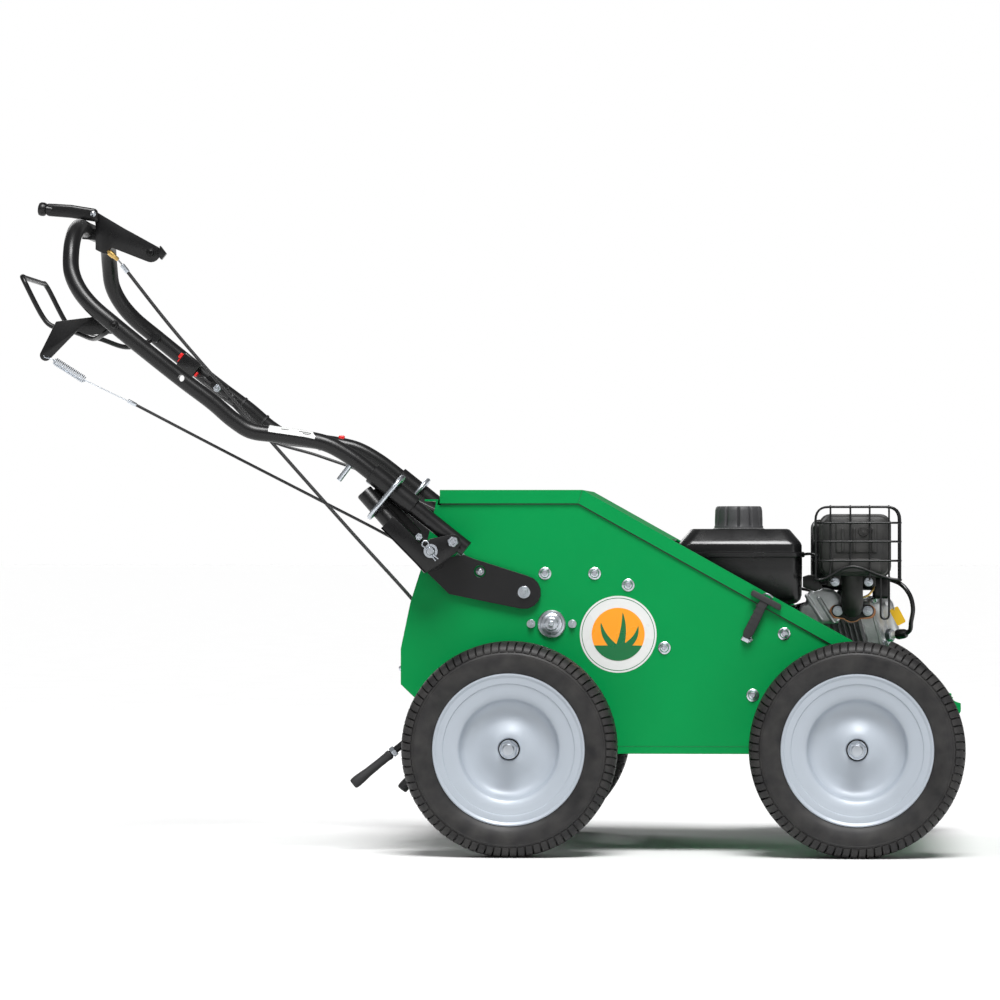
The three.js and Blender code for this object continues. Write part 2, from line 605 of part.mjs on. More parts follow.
const BAIL_WIRE = 4;
const SPRING_Y = -246;
const BAIL_HALF = [
  [-570, 252.5, 817], [-592, 235, 806], [-615, 190, 800], [-650, 150, 812], [-690, 137, 823],
  [-701, 134, 834], [-732.5, 131, 893], [-736.5, 124, 900], [-736.5, 95, 900],
];

function addTineBail() {
  const loop = wire([...mirrored(BAIL_HALF), ...[...BAIL_HALF].reverse()], BAIL_WIRE, 6, 52);
  const plate = [
    [-667, 825], [-610, 832],
    ...arcPoints(BAIL_PIVOT, 11, 80, -90, 5),
    [-617, 804], [-634, 810],
    ...arcPoints([-683.4, 772.5], 9, -40, -200, 5),
  ];
  const arm = sidePlate(plate, -238, -234, [{ at: [-683.4, 772.5], radius: 4 }]);
  const bridge = sidePlate([[-655, 815], [-634, 811], [-634, 822], [-655, 826]], -237, -146);
  add("tine_bail", joined(loop, arm, bridge), BLACK);
  const hook = rod([-681.5, SPRING_Y, 770.5], [-669, SPRING_Y, 764.5], 1.2, 6);
  const coil = rod([-670, SPRING_Y, 764.5], [-620, SPRING_Y, 733], 6.5, 10);
  add("bail_spring", joined(hook, coil), ZINC);
}

const legDirection = THREE.MathUtils.degToRad(141.4);
const onLeg = (geometry, x, z) => geometry.rotateY(-legDirection).translate(x, 0, z);

function addHandleControls() {
  const pocket = box([14, 18], [235.5, 253.5], [-8.5, 8.5]);
  const shell = onLeg(cutBy(box([-17, 17], [232, 257], [-13, 13]), pocket), -514, 772);
  add("switch_box", shell, PLASTIC);
  add("switch_button", onLeg(box([17 + GAP, 23], [236, 253], [-8, 8]), -514, 772), RED);
  add("throttle_housing", onLeg(box([-19, 19], [238, 257.5], [-11, 9]), -470, 738), PLASTIC);
  const lever = joined(box([-44, 5], [227, 231], [-5, 5]), crossBar([0, 0], 226, 238 - GAP, 7));
  add("throttle_lever", onLeg(lever, -470, 738), PLASTIC);
}

// ---- Foot pedals ----
function pedalLever(tip, y, gripLength) {
  const from = [PEDAL_PIVOT[0], y, PEDAL_PIVOT[1]];
  const to = [tip[0], y, tip[1]];
  const along = Math.hypot(to[0] - from[0], to[2] - from[2]);
  const gripFrom = rest(1 - gripLength / along, from, to);
  return joined(rod(from, rest(0.97, from, to), 5.5, 8), rod(gripFrom, to, 8.8, 10));
}

function addFootPedals() {
  const hubRadius = 14;
  const right = pedalLever([-206, 104], -200, 76);
  const bore = crossBar(PEDAL_PIVOT, -214, -186, 8 + 0.4);
  add("foot_pedal_right", cutBy(joined(right, crossBar(PEDAL_PIVOT, -213, -187, hubRadius)), bore), BLACK);
  const center = pedalLever([-145, 86], 0, 50);
  const shaft = crossBar(PEDAL_PIVOT, -BETWEEN_Y + 1, BETWEEN_Y - 1, 8);
  add("foot_pedal_center", joined(center, shaft, crossBar(PEDAL_PIVOT, -13, 13, hubRadius)), BLACK);
}

// ---- Rubber hood latches ----
function addHoodLatches() {
  const face = -PANEL_Y - 4 - GAP;
  const bar = sidePlate([[416, 407], [461, 383], [458, 376], [413, 400]], face - 10, face - 2);
  const stem = sidePlate([[432, 396], [443, 390], [416, 338], [403, 344]], face - 8, face);
  const clipEdge = [[398.1, 335.4], [412.2, 327.8], [418.3, 339.3], [404.2, 346.8]];
  const clip = sidePlate(clipEdge, face - 9, face + 0.5);
  addPair("hood_latch", joined(bar, stem, clip), RUBBER);
}

// ---- Control cables ----
function addCables() {
  const tine = [
    [-617.5, SPRING_Y, 731.8], [-553, -242, 701], [-400, -236, 621], [-260, -229, 549], [-156, -222, 495],
    CABLE_HOLES.tine.at, [-55, -222, 425], [-10, -225, 330], [30, -225, 250], [110, -226, 205],
    [200, -227, 195], [300, -227, 200], [338, -226, 200],
  ];
  add("tine_cable", wire(tine, 2.3, 8, 44), PLASTIC);
  const drive = [
    [-601, -82, 929], [-592, -82, 922], [-500, -80, 815], [-360, -74, 655], [-220, -66, 497],
    CABLE_HOLES.drive.at, [-85, -30, 335], [-40, 60, 305], [0, 180, 286], [25, 220, 262], [110, 223, 222],
    [240, 224, 208], [400, 224, 215], [520, 223, 214],
  ];
  add("drive_cable", wire(drive, 2.8, 8, 46), PLASTIC);
  const throttle = [
    [-452, 245, 716], [-420, 244, 683], [-380, 240, 648], [-300, 236, 622], [-200, 228, 585],
    [-130, 215, 545], CABLE_HOLES.throttle.at, [-20, 200, 515], [120, 197, 515], [230, 178, 455],
    [300, 130, 420], [400, 113, 408], [490, 108, 406], [536, 100, 394],
  ];
  add("throttle_cable", wire(throttle, 2.5, 8, 46), PLASTIC);
}

addSidePanels();
addRearPanel();
addFrontPanel();
addEngineDeck();
addHood();
addAxles();
addWheel("rear_right", WHEEL.rearX, -1);
addWheel("rear_left", WHEEL.rearX, 1);
addWheel("front_right", WHEEL.frontX, -1);
addWheel("front_left", WHEEL.frontX, 1);
addCrankBearings();
addCrankshaft();
ARM_YS.forEach((y, i) => addTineArm(i + 1, y, ARM_PHASES[i]));
addDrive();
addIdlerArm();
addEngineBlock();
addBlowerHousing();
addFuelTank();
addExhaust();
addMufflerGuard();
addAirCleaner();
addHandleArms();
addLockPosts();
addHandlebar();
addLockRings();
addDriveLever();
addTineBail();
addHandleControls();
addFootPedals();
addHoodLatches();
addCables();

export default machine;
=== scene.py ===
"""The looks of a walk-behind core aerator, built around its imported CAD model.

The row frame is metres, +X forward, +Y the machine's left, +Z up. Shape helpers below take
millimetres, as the machine's drawing does, and write metres.
"""
import json
import math

import bmesh
import bpy
from mathutils import Matrix, Vector


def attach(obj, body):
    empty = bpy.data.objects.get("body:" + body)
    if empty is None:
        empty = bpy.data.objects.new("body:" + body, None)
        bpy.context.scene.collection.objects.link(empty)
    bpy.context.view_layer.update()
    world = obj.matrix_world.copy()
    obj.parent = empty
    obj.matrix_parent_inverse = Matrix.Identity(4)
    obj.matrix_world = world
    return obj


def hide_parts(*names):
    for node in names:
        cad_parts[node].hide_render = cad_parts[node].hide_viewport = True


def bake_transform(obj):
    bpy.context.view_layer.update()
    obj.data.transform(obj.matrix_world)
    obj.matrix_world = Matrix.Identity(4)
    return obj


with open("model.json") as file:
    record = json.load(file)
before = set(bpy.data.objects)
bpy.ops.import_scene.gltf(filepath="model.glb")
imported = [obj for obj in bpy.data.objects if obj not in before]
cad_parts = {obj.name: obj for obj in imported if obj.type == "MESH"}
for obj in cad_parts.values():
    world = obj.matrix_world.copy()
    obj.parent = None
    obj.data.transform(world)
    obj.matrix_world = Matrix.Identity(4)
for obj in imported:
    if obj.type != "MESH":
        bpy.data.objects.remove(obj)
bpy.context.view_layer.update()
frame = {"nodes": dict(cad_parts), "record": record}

MM = 0.001
SIDES = (("right", -1), ("left", 1))
X_AXIS = Vector((1, 0, 0))
Y_AXIS = Vector((0, 1, 0))

# ---- Driving dimensions, in millimetres ----
WHEEL_RADIUS = 165
WHEEL_Y = 320
REAR_AXLE_X = 45
FRONT_AXLE_X = 576
PANEL_Y = 235
HOOD_FACE_Y = 239
HANDLE_Y = 277
SHAFT_END_Y = 231
TUBE_RADIUS = 12.7
FOLD = (-43.6, 482.3)
CRANK = (105.5, 355)
ENGINE = (400, 298)


# ---- Stage, camera and light ----
def add_camera():
    """A long lens from the machine's right, a little to the front, level with its middle."""
    data = bpy.data.cameras.new("camera")
    data.lens = 186.55
    data.sensor_width = 36
    data.clip_end = 100
    camera = bpy.data.objects.new("camera", data)
    camera.location = (0.4757, -8.2532, 0.5055)
    camera.rotation_euler = (math.radians(90.295), 0, math.radians(3.215))
    bpy.context.scene.collection.objects.link(camera)
    bpy.context.scene.camera = camera


def add_light(name, place, aim, size, power):
    """Adds a rectangular lamp that points at a place."""
    data = bpy.data.lights.new(name, "AREA")
    data.shape = "RECTANGLE"
    data.size, data.size_y = size
    data.energy = power
    lamp = bpy.data.objects.new(name, data)
    lamp.location = place
    lamp.rotation_euler = (Vector(aim) - Vector(place)).to_track_quat("-Z", "Y").to_euler()
    bpy.context.scene.collection.objects.link(lamp)


def add_studio():
    """Soft light from above and in front, a white surround that lights only a little, and a pale floor."""
    world = bpy.data.worlds.new("studio")
    world.use_nodes = True
    tree = world.node_tree
    glow = tree.nodes["Background"]
    coordinates = tree.nodes.new("ShaderNodeTexCoord")
    cloud = node_of(tree, "ShaderNodeTexNoise", Scale=2.6, Detail=1.0)
    tree.links.new(coordinates.outputs["Generated"], cloud.inputs["Vector"])
    tree.links.new(ramp(tree, cloud.outputs["Fac"], 0.05, 1.15), glow.inputs["Color"])
    glow.inputs["Strength"].default_value = 0.34
    backdrop = node_of(tree, "ShaderNodeBackground", Strength=1.0)
    backdrop.inputs["Color"].default_value = (1, 1, 1, 1)
    seen = tree.nodes.new("ShaderNodeLightPath")
    choice = tree.nodes.new("ShaderNodeMixShader")
    tree.links.new(seen.outputs["Is Camera Ray"], choice.inputs["Fac"])
    tree.links.new(glow.outputs["Background"], choice.inputs[1])
    tree.links.new(backdrop.outputs["Background"], choice.inputs[2])
    tree.links.new(choice.outputs["Shader"], tree.nodes["World Output"].inputs["Surface"])
    bpy.context.scene.world = world
    bpy.context.scene.view_settings.view_transform = "Standard"
    add_light("key", (-1.6, -3.6, 3.4), (0, 0, 0.3), (1.5, 1.2), 14)
    add_light("fill", (3.2, -3.4, 1.2), (0.2, 0, 0.4), (0.9, 2.4), 12)
    add_light("back", (-2.0, 4.2, 2.6), (0, 0, 0.4), (2.4, 1.6), 40)
    sun = bpy.data.lights.new("overhead", "SUN")
    sun.energy = 3.9
    sun.angle = math.radians(28)
    lamp = bpy.data.objects.new("overhead", sun)
    lamp.rotation_euler = (math.radians(30), math.radians(5), 0)
    bpy.context.scene.collection.objects.link(lamp)
    mesh = bpy.data.meshes.new("floor")
    half = 60
    mesh.from_pydata([(-half, -half, 0), (half, -half, 0), (half, half, 0), (-half, half, 0)], [],
                     [(0, 1, 2, 3)])
    floor = bpy.data.objects.new("floor", mesh)
    bpy.context.scene.collection.objects.link(floor)
    floor.data.materials.append(make_material("studio_floor", (0.84, 0.84, 0.84), 0.8,
                                              mottle=0.01, grain=0.0))


# ---- Materials ----
ROUGH_SPREAD = 0.06


def node_of(tree, kind, **values):
    """Adds a shader node; each value goes to the input of that name, or else to the node's own setting."""
    node = tree.nodes.new(kind)
    for name, value in values.items():
        if name in node.inputs:
            node.inputs[name].default_value = value
        else:
            setattr(node, name, value)
    return node


def noise(tree, coordinates, scale, detail):
    """The value of a noise texture that is fixed to the object."""
    texture = node_of(tree, "ShaderNodeTexNoise", Scale=scale, Detail=detail)
    tree.links.new(coordinates.outputs["Object"], texture.inputs["Vector"])
    return texture.outputs["Fac"]


def ramp(tree, source, low, high):
    """Maps the middle of a noise's range onto low to high."""
    spread = node_of(tree, "ShaderNodeMapRange")
    spread.inputs["From Min"].default_value = 0.3
    spread.inputs["From Max"].default_value = 0.7
    spread.inputs["To Min"].default_value = low
    spread.inputs["To Max"].default_value = high
    tree.links.new(source, spread.inputs["Value"])
    return spread.outputs["Result"]


def tinted(tree, source, color, low, high):
    """The colour, made darker or lighter by the source, from low to high times its brightness."""
    mix = node_of(tree, "ShaderNodeMix", data_type="RGBA")
    mix.inputs["A"].default_value = (*[min(c * low, 1) for c in color], 1)
    mix.inputs["B"].default_value = (*[min(c * high, 1) for c in color], 1)
    tree.links.new(ramp(tree, source, 0, 1), mix.inputs["Factor"])
    return mix.outputs["Result"]


def bump(tree, height, strength, distance):
    """A surface direction that follows a height."""
    node = node_of(tree, "ShaderNodeBump", Strength=strength, Distance=distance)
    tree.links.new(height, node.inputs["Height"])
    return node.outputs["Normal"]


def make_material(name, color, roughness, mottle, grain, metallic=0.0, mottle_scale=6.0, grain_scale=900.0,
                  coat=0.0, dust=0.0, specular=0.5):
    """A painted, moulded or metal surface: mottled colour, uneven gloss, fine grain and a little dust."""
    material = bpy.data.materials.new(name)
    material.use_nodes = True
    tree = material.node_tree
    shader = tree.nodes["Principled BSDF"]
    coordinates = tree.nodes.new("ShaderNodeTexCoord")
    shader.inputs["Metallic"].default_value = metallic
    shader.inputs["Coat Weight"].default_value = coat
    shader.inputs["Coat Roughness"].default_value = 0.12
    shader.inputs["Specular IOR Level"].default_value = specular
    broad = noise(tree, coordinates, mottle_scale, 4.0)
    base = tinted(tree, broad, color, 1 - mottle, 1 + mottle)
    if dust:
        fine = noise(tree, coordinates, 38.0, 8.0)
        dusty = node_of(tree, "ShaderNodeMix", data_type="RGBA")
        dusty.inputs["B"].default_value = (0.42, 0.40, 0.36, 1)
        tree.links.new(base, dusty.inputs["A"])
        tree.links.new(ramp(tree, fine, 0, dust), dusty.inputs["Factor"])
        base = dusty.outputs["Result"]
    tree.links.new(base, shader.inputs["Base Color"])
    uneven = noise(tree, coordinates, 22.0, 5.0)
    tree.links.new(ramp(tree, uneven, roughness - ROUGH_SPREAD, roughness + ROUGH_SPREAD),
                   shader.inputs["Roughness"])
    if grain:
        height = noise(tree, coordinates, grain_scale, 2.0)
        tree.links.new(bump(tree, height, grain, 0.0006), shader.inputs["Normal"])
    return material


def make_brushed(name, color, roughness, scale=(900, 900, 30)):
    """Plated or machined steel, with fine streaks."""
    material = make_material(name, color, roughness, metallic=1.0, mottle=0.12, mottle_scale=45, grain=0)
    tree = material.node_tree
    shader = tree.nodes["Principled BSDF"]
    coordinates = tree.nodes.new("ShaderNodeTexCoord")
    stretch = node_of(tree, "ShaderNodeMapping")
    stretch.inputs["Scale"].default_value = scale
    streaks = node_of(tree, "ShaderNodeTexNoise", Scale=1.0, Detail=3.0)
    tree.links.new(coordinates.outputs["Object"], stretch.inputs["Vector"])
    tree.links.new(stretch.outputs["Vector"], streaks.inputs["Vector"])
    tree.links.new(bump(tree, streaks.outputs["Fac"], 0.12, 0.0004), shader.inputs["Normal"])
    return material


def make_braid(name):
    """A braided cable jacket: two sets of fine bands that cross."""
    material = make_material(name, (0.016, 0.016, 0.017), 0.45, mottle=0.25, grain=0)
    tree = material.node_tree
    shader = tree.nodes["Principled BSDF"]
    coordinates = tree.nodes.new("ShaderNodeTexCoord")
    heights = []
    for direction in ("X", "Z"):
        wave = node_of(tree, "ShaderNodeTexWave", Scale=120.0, bands_direction=direction)
        tree.links.new(coordinates.outputs["Object"], wave.inputs["Vector"])
        heights.append(wave.outputs["Fac"])
    both = node_of(tree, "ShaderNodeMath", operation="MULTIPLY")
    tree.links.new(heights[0], both.inputs[0])
    tree.links.new(heights[1], both.inputs[1])
    tree.links.new(bump(tree, both.outputs["Value"], 0.6, 0.0008), shader.inputs["Normal"])
    return material


def make_materials():
    """All the surfaces of the machine, by the name that the pieces use."""
    made = {}
    made["green_paint"] = make_material("green_powder_coat", (0.0, 0.255, 0.06), 0.36, mottle=0.035,
                                        grain=0.05, grain_scale=420, coat=0.02, specular=0.12)
    made["black_paint"] = make_material("black_powder_coat", (0.007, 0.007, 0.0075), 0.31, mottle=0.2,
                                        grain=0.05, grain_scale=1100, specular=0.38)
    made["tyre_rubber"] = make_material("tyre_rubber", (0.013, 0.0125, 0.0135), 0.48, mottle=0.2,
                                        mottle_scale=14, grain=0.3, grain_scale=700, dust=0.05,
                                        specular=0.3)
    made["latch_rubber"] = make_material("moulded_rubber", (0.02, 0.02, 0.021), 0.6, mottle=0.2, grain=0.25)
    made["rim_paint"] = make_material("silver_rim_paint", (0.375, 0.415, 0.465), 0.42, metallic=0.12,
                                      mottle=0.03, grain=0.06, grain_scale=1500, coat=0.15)
    made["zinc"] = make_brushed("bright_zinc", (0.60, 0.64, 0.69), 0.3)
    made["steel"] = make_brushed("machined_steel", (0.42, 0.43, 0.44), 0.38, scale=(60, 900, 60))
    made["cast_aluminium"] = make_material("cast_aluminium", (0.68, 0.70, 0.71), 0.36, metallic=0.8,
                                           mottle=0.14, mottle_scale=60, grain=0.35, grain_scale=500)
    made["cast_dark"] = make_material("aged_casting", (0.26, 0.26, 0.27), 0.5, metallic=0.7, mottle=0.2,
                                      mottle_scale=60, grain=0.35, grain_scale=500)
    made["black_plastic"] = make_material("moulded_black_plastic", (0.007, 0.007, 0.0075), 0.24, mottle=0.2,
                                          grain=0.08, grain_scale=800, specular=0.5)
    made["grey_plastic"] = make_material("matte_cap_plastic", (0.055, 0.055, 0.058), 0.5, mottle=0.15,
                                         grain=0.2, grain_scale=600)
    made["red_plastic"] = make_material("red_plastic", (0.72, 0.018, 0.018), 0.3, mottle=0.05, grain=0.05)
    made["cable_jacket"] = make_material("cable_jacket", (0.012, 0.012, 0.013), 0.42, mottle=0.2, grain=0.1)
    made["braid"] = make_braid("braided_jacket")
    made["brass"] = make_brushed("brass", (0.70, 0.47, 0.16), 0.3)
    made["heat_black"] = make_material("heat_proof_black", (0.02, 0.02, 0.02), 0.55, mottle=0.3, grain=0.35,
                                       grain_scale=600, dust=0.05)
    made["copper"] = make_brushed("copper_gasket", (0.62, 0.30, 0.16), 0.35)
    made["white_vinyl"] = make_material("white_vinyl", (0.70, 0.71, 0.70), 0.3, mottle=0.015, grain=0.03)
    made["orange_vinyl"] = make_material("orange_vinyl", (0.95, 0.32, 0.01), 0.3, mottle=0.02, grain=0.03)
    made["green_vinyl"] = make_material("green_vinyl", (0.0, 0.145, 0.04), 0.3, mottle=0.03, grain=0.03)
    made["yellow_tag"] = make_material("yellow_tag", (0.86, 0.50, 0.01), 0.4, mottle=0.04, grain=0.05)
    made["porcelain"] = make_material("plug_porcelain", (0.75, 0.74, 0.70), 0.2, mottle=0.03, grain=0.0)
    return made


# ---- Meshes ----
def angle_sharp(bm, degrees):
    """Shades the mesh smooth, apart from the edges that are bent by more than the angle."""
    for edge in bm.edges:
        edge.smooth = len(edge.link_faces) == 2 and edge.calc_face_angle(0) < math.radians(degrees)
    for face in bm.faces:
        face.smooth = True


def add_piece(name, bm, material, body, nodes=(), slot=None, bevel=0.0, segments=2, sharp=32):
    """Turns a bmesh in millimetres into a piece that rides on a body and may stand for CAD nodes."""
    bmesh.ops.scale(bm, vec=(MM, MM, MM), verts=bm.verts)
    return finish_piece(name, bm, material, body, nodes, bevel, segments, sharp)


def stand_in(node, bm, material, **looks):
    """A piece that replaces one CAD node, on that node's body."""
    return add_piece(node + "_shape", bm, material, NODE_BODY[node], [node], NODE_SLOT[node], **looks)


def finish_piece(name, bm, material, body, nodes, bevel, segments, sharp):
    """Makes the mesh object, with its shading, material and rounded edges, and ties it to the frame."""
    bmesh.ops.recalc_face_normals(bm, faces=bm.faces)
    angle_sharp(bm, sharp)
    mesh = bpy.data.meshes.new(name)
    bm.to_mesh(mesh)
    bm.free()
    piece = bpy.data.objects.new(name, mesh)
    bpy.context.scene.collection.objects.link(piece)
    mesh.materials.append(MATERIALS[material])
    if bevel:
        edge = piece.modifiers.new("bevel", "BEVEL")
        edge.width = bevel * MM
        edge.segments = segments
        edge.limit_method = "ANGLE"
        edge.angle_limit = math.radians(sharp)
        edge.harden_normals = True
        edge.use_clamp_overlap = True
    if body:
        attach(piece, body)
    if nodes:
        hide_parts(*nodes)
    return piece


def refined(node, bevel=0.7, segments=2):
    """A CAD node's own shape with its flat faces made whole and its edges rounded."""
    bm = bmesh.new()
    bm.from_mesh(frame["nodes"][node].data)
    bmesh.ops.remove_doubles(bm, verts=bm.verts, dist=1e-6)
    bmesh.ops.dissolve_limit(bm, angle_limit=math.radians(1), verts=bm.verts, edges=bm.edges)
    slot = NODE_SLOT[node]
    finish_piece(node + "_shape", bm, slot, NODE_BODY[node], [node], bevel, segments, sharp=25)


def catmull(points, step=4.0):
    """A centripetal Catmull-Rom line through the points, in steps of about the length given."""
    points = [Vector(p) for p in points]
    points = [2 * points[0] - points[1], *points, 2 * points[-1] - points[-2]]
    line = []
    for p0, p1, p2, p3 in zip(points, points[1:], points[2:], points[3:]):
        knots = [0.0]
        for a, b in ((p0, p1), (p1, p2), (p2, p3)):
            knots.append(knots[-1] + max((b - a).length ** 0.5, 1e-4))
        t0, t1, t2, t3 = knots
        steps = max(2, round((p2 - p1).length / step))
        for k in range(steps):
            t = t1 + (t2 - t1) * k / steps
            a1 = p0 * ((t1 - t) / (t1 - t0)) + p1 * ((t - t0) / (t1 - t0))
            a2 = p1 * ((t2 - t) / (t2 - t1)) + p2 * ((t - t1) / (t2 - t1))
            a3 = p2 * ((t3 - t) / (t3 - t2)) + p3 * ((t - t2) / (t3 - t2))
            b1 = a1 * ((t2 - t) / (t2 - t0)) + a2 * ((t - t0) / (t2 - t0))
            b2 = a2 * ((t3 - t) / (t3 - t1)) + a3 * ((t - t1) / (t3 - t1))
            line.append(b1 * ((t2 - t) / (t2 - t1)) + b2 * ((t - t1) / (t2 - t1)))
    line.append(points[-2])
    return line


def circle(centre, side, up, radius, count):
    """Points round a circle in the plane of two directions."""
    turns = [2 * math.pi * k / count for k in range(count)]
    return [centre + side * (radius * math.cos(a)) + up * (radius * math.sin(a)) for a in turns]


def across_of(axis):
    """Two directions that are square to an axis and to each other."""
    side = axis.orthogonal().normalized()
    return side, axis.cross(side)


def loft(bm, rings, closed=False):
    """Adds a body through rings with as many corners each. It has flat ends, or closes on itself."""
    rings = [[bm.verts.new(point) for point in ring] for ring in rings]
    count = len(rings[0])
    for a, b in zip(rings, rings[1:] + rings[:1] if closed else rings[1:]):
        for k in range(count):
            bm.faces.new((a[k], a[(k + 1) % count], b[(k + 1) % count], b[k]))
    if not closed:
        bm.faces.new(rings[0][::-1])
        bm.faces.new(rings[-1])


def sweep(bm, line, radius, sides, closed=False):
    """Adds a round tube along a line."""
    line = [Vector(p) for p in line]
    count = len(line)
    side = None
    rings = []
    for i, point in enumerate(line):
        ahead = line[(i + 1) % count] if closed or i + 1 < count else point
        behind = line[i - 1] if closed or i else point
        along = (ahead - behind).normalized()
        if side is None:
            side = along.orthogonal().normalized()
        side = (side - along * side.dot(along)).normalized()
        rings.append(circle(point, side, along.cross(side), radius, sides))
    loft(bm, rings, closed)


def rod(radius, start, end):
    """The profile of a plain cylinder, from start to end along its axis."""
    return [(0, start), (radius, start), (radius, end), (0, end)]


def lathe(bm, profile, centre, axis, segments, closed=True):
    """Adds a body turned about an axis through centre, from (radius, along) pairs."""
    axis = Vector(axis).normalized()
    side, up = across_of(axis)
    rings = []
    for radius, along in profile:
        middle = Vector(centre) + axis * along
        points = [middle] if radius < 1e-6 else circle(middle, side, up, radius, segments)
        rings.append([bm.verts.new(point) for point in points])
    pairs = list(zip(rings, rings[1:]))
    if closed and len(rings[0]) > 1 and len(rings[-1]) > 1:
        pairs.append((rings[-1], rings[0]))
    for a, b in pairs:
        for k in range(segments):
            n = (k + 1) % segments
            corners = [a[k % len(a)], a[n % len(a)], b[n % len(b)], b[k % len(b)]]
            unique = list(dict.fromkeys(corners))
            if len(unique) > 2:
                bm.faces.new(unique)


def block(bm, x, y, z):
    """Adds a box from its ranges and gives its corners."""
    made = bmesh.ops.create_cube(bm, size=1)
    size = Vector([high - low for low, high in (x, y, z)])
    middle = Vector([(low + high) / 2 for low, high in (x, y, z)])
    for vert in made["verts"]:
        vert.co = Vector([share * length for share, length in zip(vert.co, size)]) + middle
    return made["verts"]


def at_y(place, y):
    """A place of the side view (x, z), at a distance along Y."""
    return (place[0], y, place[1])


def outward(side, inner, outer):
    """The Y range between two distances from the middle of the machine, on one side of it."""
    return sorted((side * inner, side * outer))


def side_plate(bm, points, y0, y1):
    """Adds a flat plate drawn in side view (x, z), thick from y0 to y1, and gives its corners."""
    low = [bm.verts.new((x, y0, z)) for x, z in points]
    high = [bm.verts.new((x, y1, z)) for x, z in points]
    bm.faces.new(low)
    bm.faces.new(high[::-1])
    for i in range(len(points)):
        n = (i + 1) % len(points)
        bm.faces.new((low[i], high[i], high[n], low[n]))
    return low + high


def arc(centre, radius, start, end, steps):
    """Points on part of a circle, between two angles in degrees."""
    turns = [math.radians(start + (end - start) * i / steps) for i in range(steps + 1)]
    return [(centre[0] + radius * math.cos(a), centre[1] + radius * math.sin(a)) for a in turns]


def bolt_head(bm, at, axis, across, height, washer=None):
    """Adds a hex head or nut with a chamfered top, its shank end and, if asked for, a washer."""
    axis = Vector(axis).normalized()
    at = Vector(at)
    lift = 0.0
    if washer:
        lift = 1.6
        lathe(bm, [(0, 0), (washer, 0), (washer, 1.2), (washer - 0.5, lift), (0, lift)], at, axis, 28)
    radius = across / math.sqrt(3)
    top = lift + height
    hexes = ((radius, lift), (radius, lift + height * 0.86), (radius * 0.9, top))
    loft(bm, [circle(at + axis * along, *across_of(axis), r, 6) for r, along in hexes])
    stub = radius * 0.52
    lathe(bm, [(0, top - 1), (stub, top - 1), (stub, top + 1.6), (stub - 0.8, top + 2.4), (0, top + 2.4)],
          at, axis, 18)


def button_bolt(bm, at, axis, radius):
    """Adds a flanged button-head bolt with a hex socket."""
    socket = radius * 0.36
    lathe(bm, [(0, 0), (radius, 0), (radius, 1.0), (radius * 0.93, 1.5), (radius * 0.74, 1.8),
               (radius * 0.70, 3.0), (radius * 0.58, 4.4), (socket, 5.0)], at, axis, 28, closed=False)
    lathe(bm, [(socket, 5.0), (socket, 2.6), (0, 2.6)], at, axis, 6, closed=False)


def mirrored(points):
    """The same points on the other side of the machine."""
    return [(x, -y, z) for x, y, z in points]


def rounded(bm, verts, radius, segments=3):
    """Rounds the sharp edges of the part that the given corners belong to."""
    bm.normal_update()
    edges = dict.fromkeys(edge for vert in verts for edge in vert.link_edges)
    edges = [e for e in edges if len(e.link_faces) == 2 and e.calc_face_angle(0) > math.radians(20)]
    bmesh.ops.bevel(bm, geom=edges, offset=radius, segments=segments, profile=0.5, affect="EDGES",
                    clamp_overlap=True)


def placed(place, degrees):
    """The move to a place, after a turn about the Y axis."""
    return Matrix.Translation(place) @ Matrix.Rotation(math.radians(degrees), 4, "Y")


def moved(bm, kept, matrix):
    """Moves every corner that isn't among those to be kept in place."""
    bmesh.ops.transform(bm, matrix=matrix, verts=[vert for vert in bm.verts if vert not in kept])


def stadium(half_length, half_width, steps):
    """The outline of a loop with straight sides and round ends."""
    reach = half_length - half_width
    return arc((reach, 0), half_width, -90, 90, steps) + arc((-reach, 0), half_width, 90, 270, steps)


def loop_line(a, ra, b, rb, y):
    """The line of a belt or chain round two wheels."""
    steps = 28
    distance = math.dist(a, b)
    heading = math.degrees(math.atan2(b[1] - a[1], b[0] - a[0]))
    opening = math.degrees(math.acos((ra - rb) / distance))
    around = arc(a, ra, heading + opening, heading + 360 - opening, steps)
    around += arc(b, rb, heading - opening, heading + opening, steps)
    return [(x, y, z) for x, z in around]


def evenly(points, pitch):
    """Points at even steps round a closed line, with the step nearest to the pitch."""
    points = [Vector(p) for p in points]
    points.append(points[0])
    lengths = [(b - a).length for a, b in zip(points, points[1:])]
    total = sum(lengths)
    count = round(total / pitch)
    stations = []
    i = 0
    passed = 0.0
    for k in range(count):
        target = total * k / count
        while passed + lengths[i] < target:
            passed += lengths[i]
            i += 1
        stations.append(points[i].lerp(points[i + 1], (target - passed) / lengths[i]))
    return stations


# ---- Housing ----
PANEL_BOLTS = [(95, 433), (172, 433), (224, 415), (280, 318), (465, 340), (416.5, 245)]
DECAL = (208.5, 339)
PANEL_FOLD_Z = 165
DECAL_RADIUS = 59.5


def add_housing():
    """The sheet housing: panels, arm plates, hood and engine deck, as in the CAD."""
    for name, _ in SIDES:
        refined(f"side_panel_{name}")
        refined(f"handle_arm_{name}", bevel=1.0)
    refined("hood", bevel=1.3, segments=3)
    add_hood_seams()
    refined("rear_panel")
    refined("front_panel")
    refined("engine_deck", bevel=0.6)


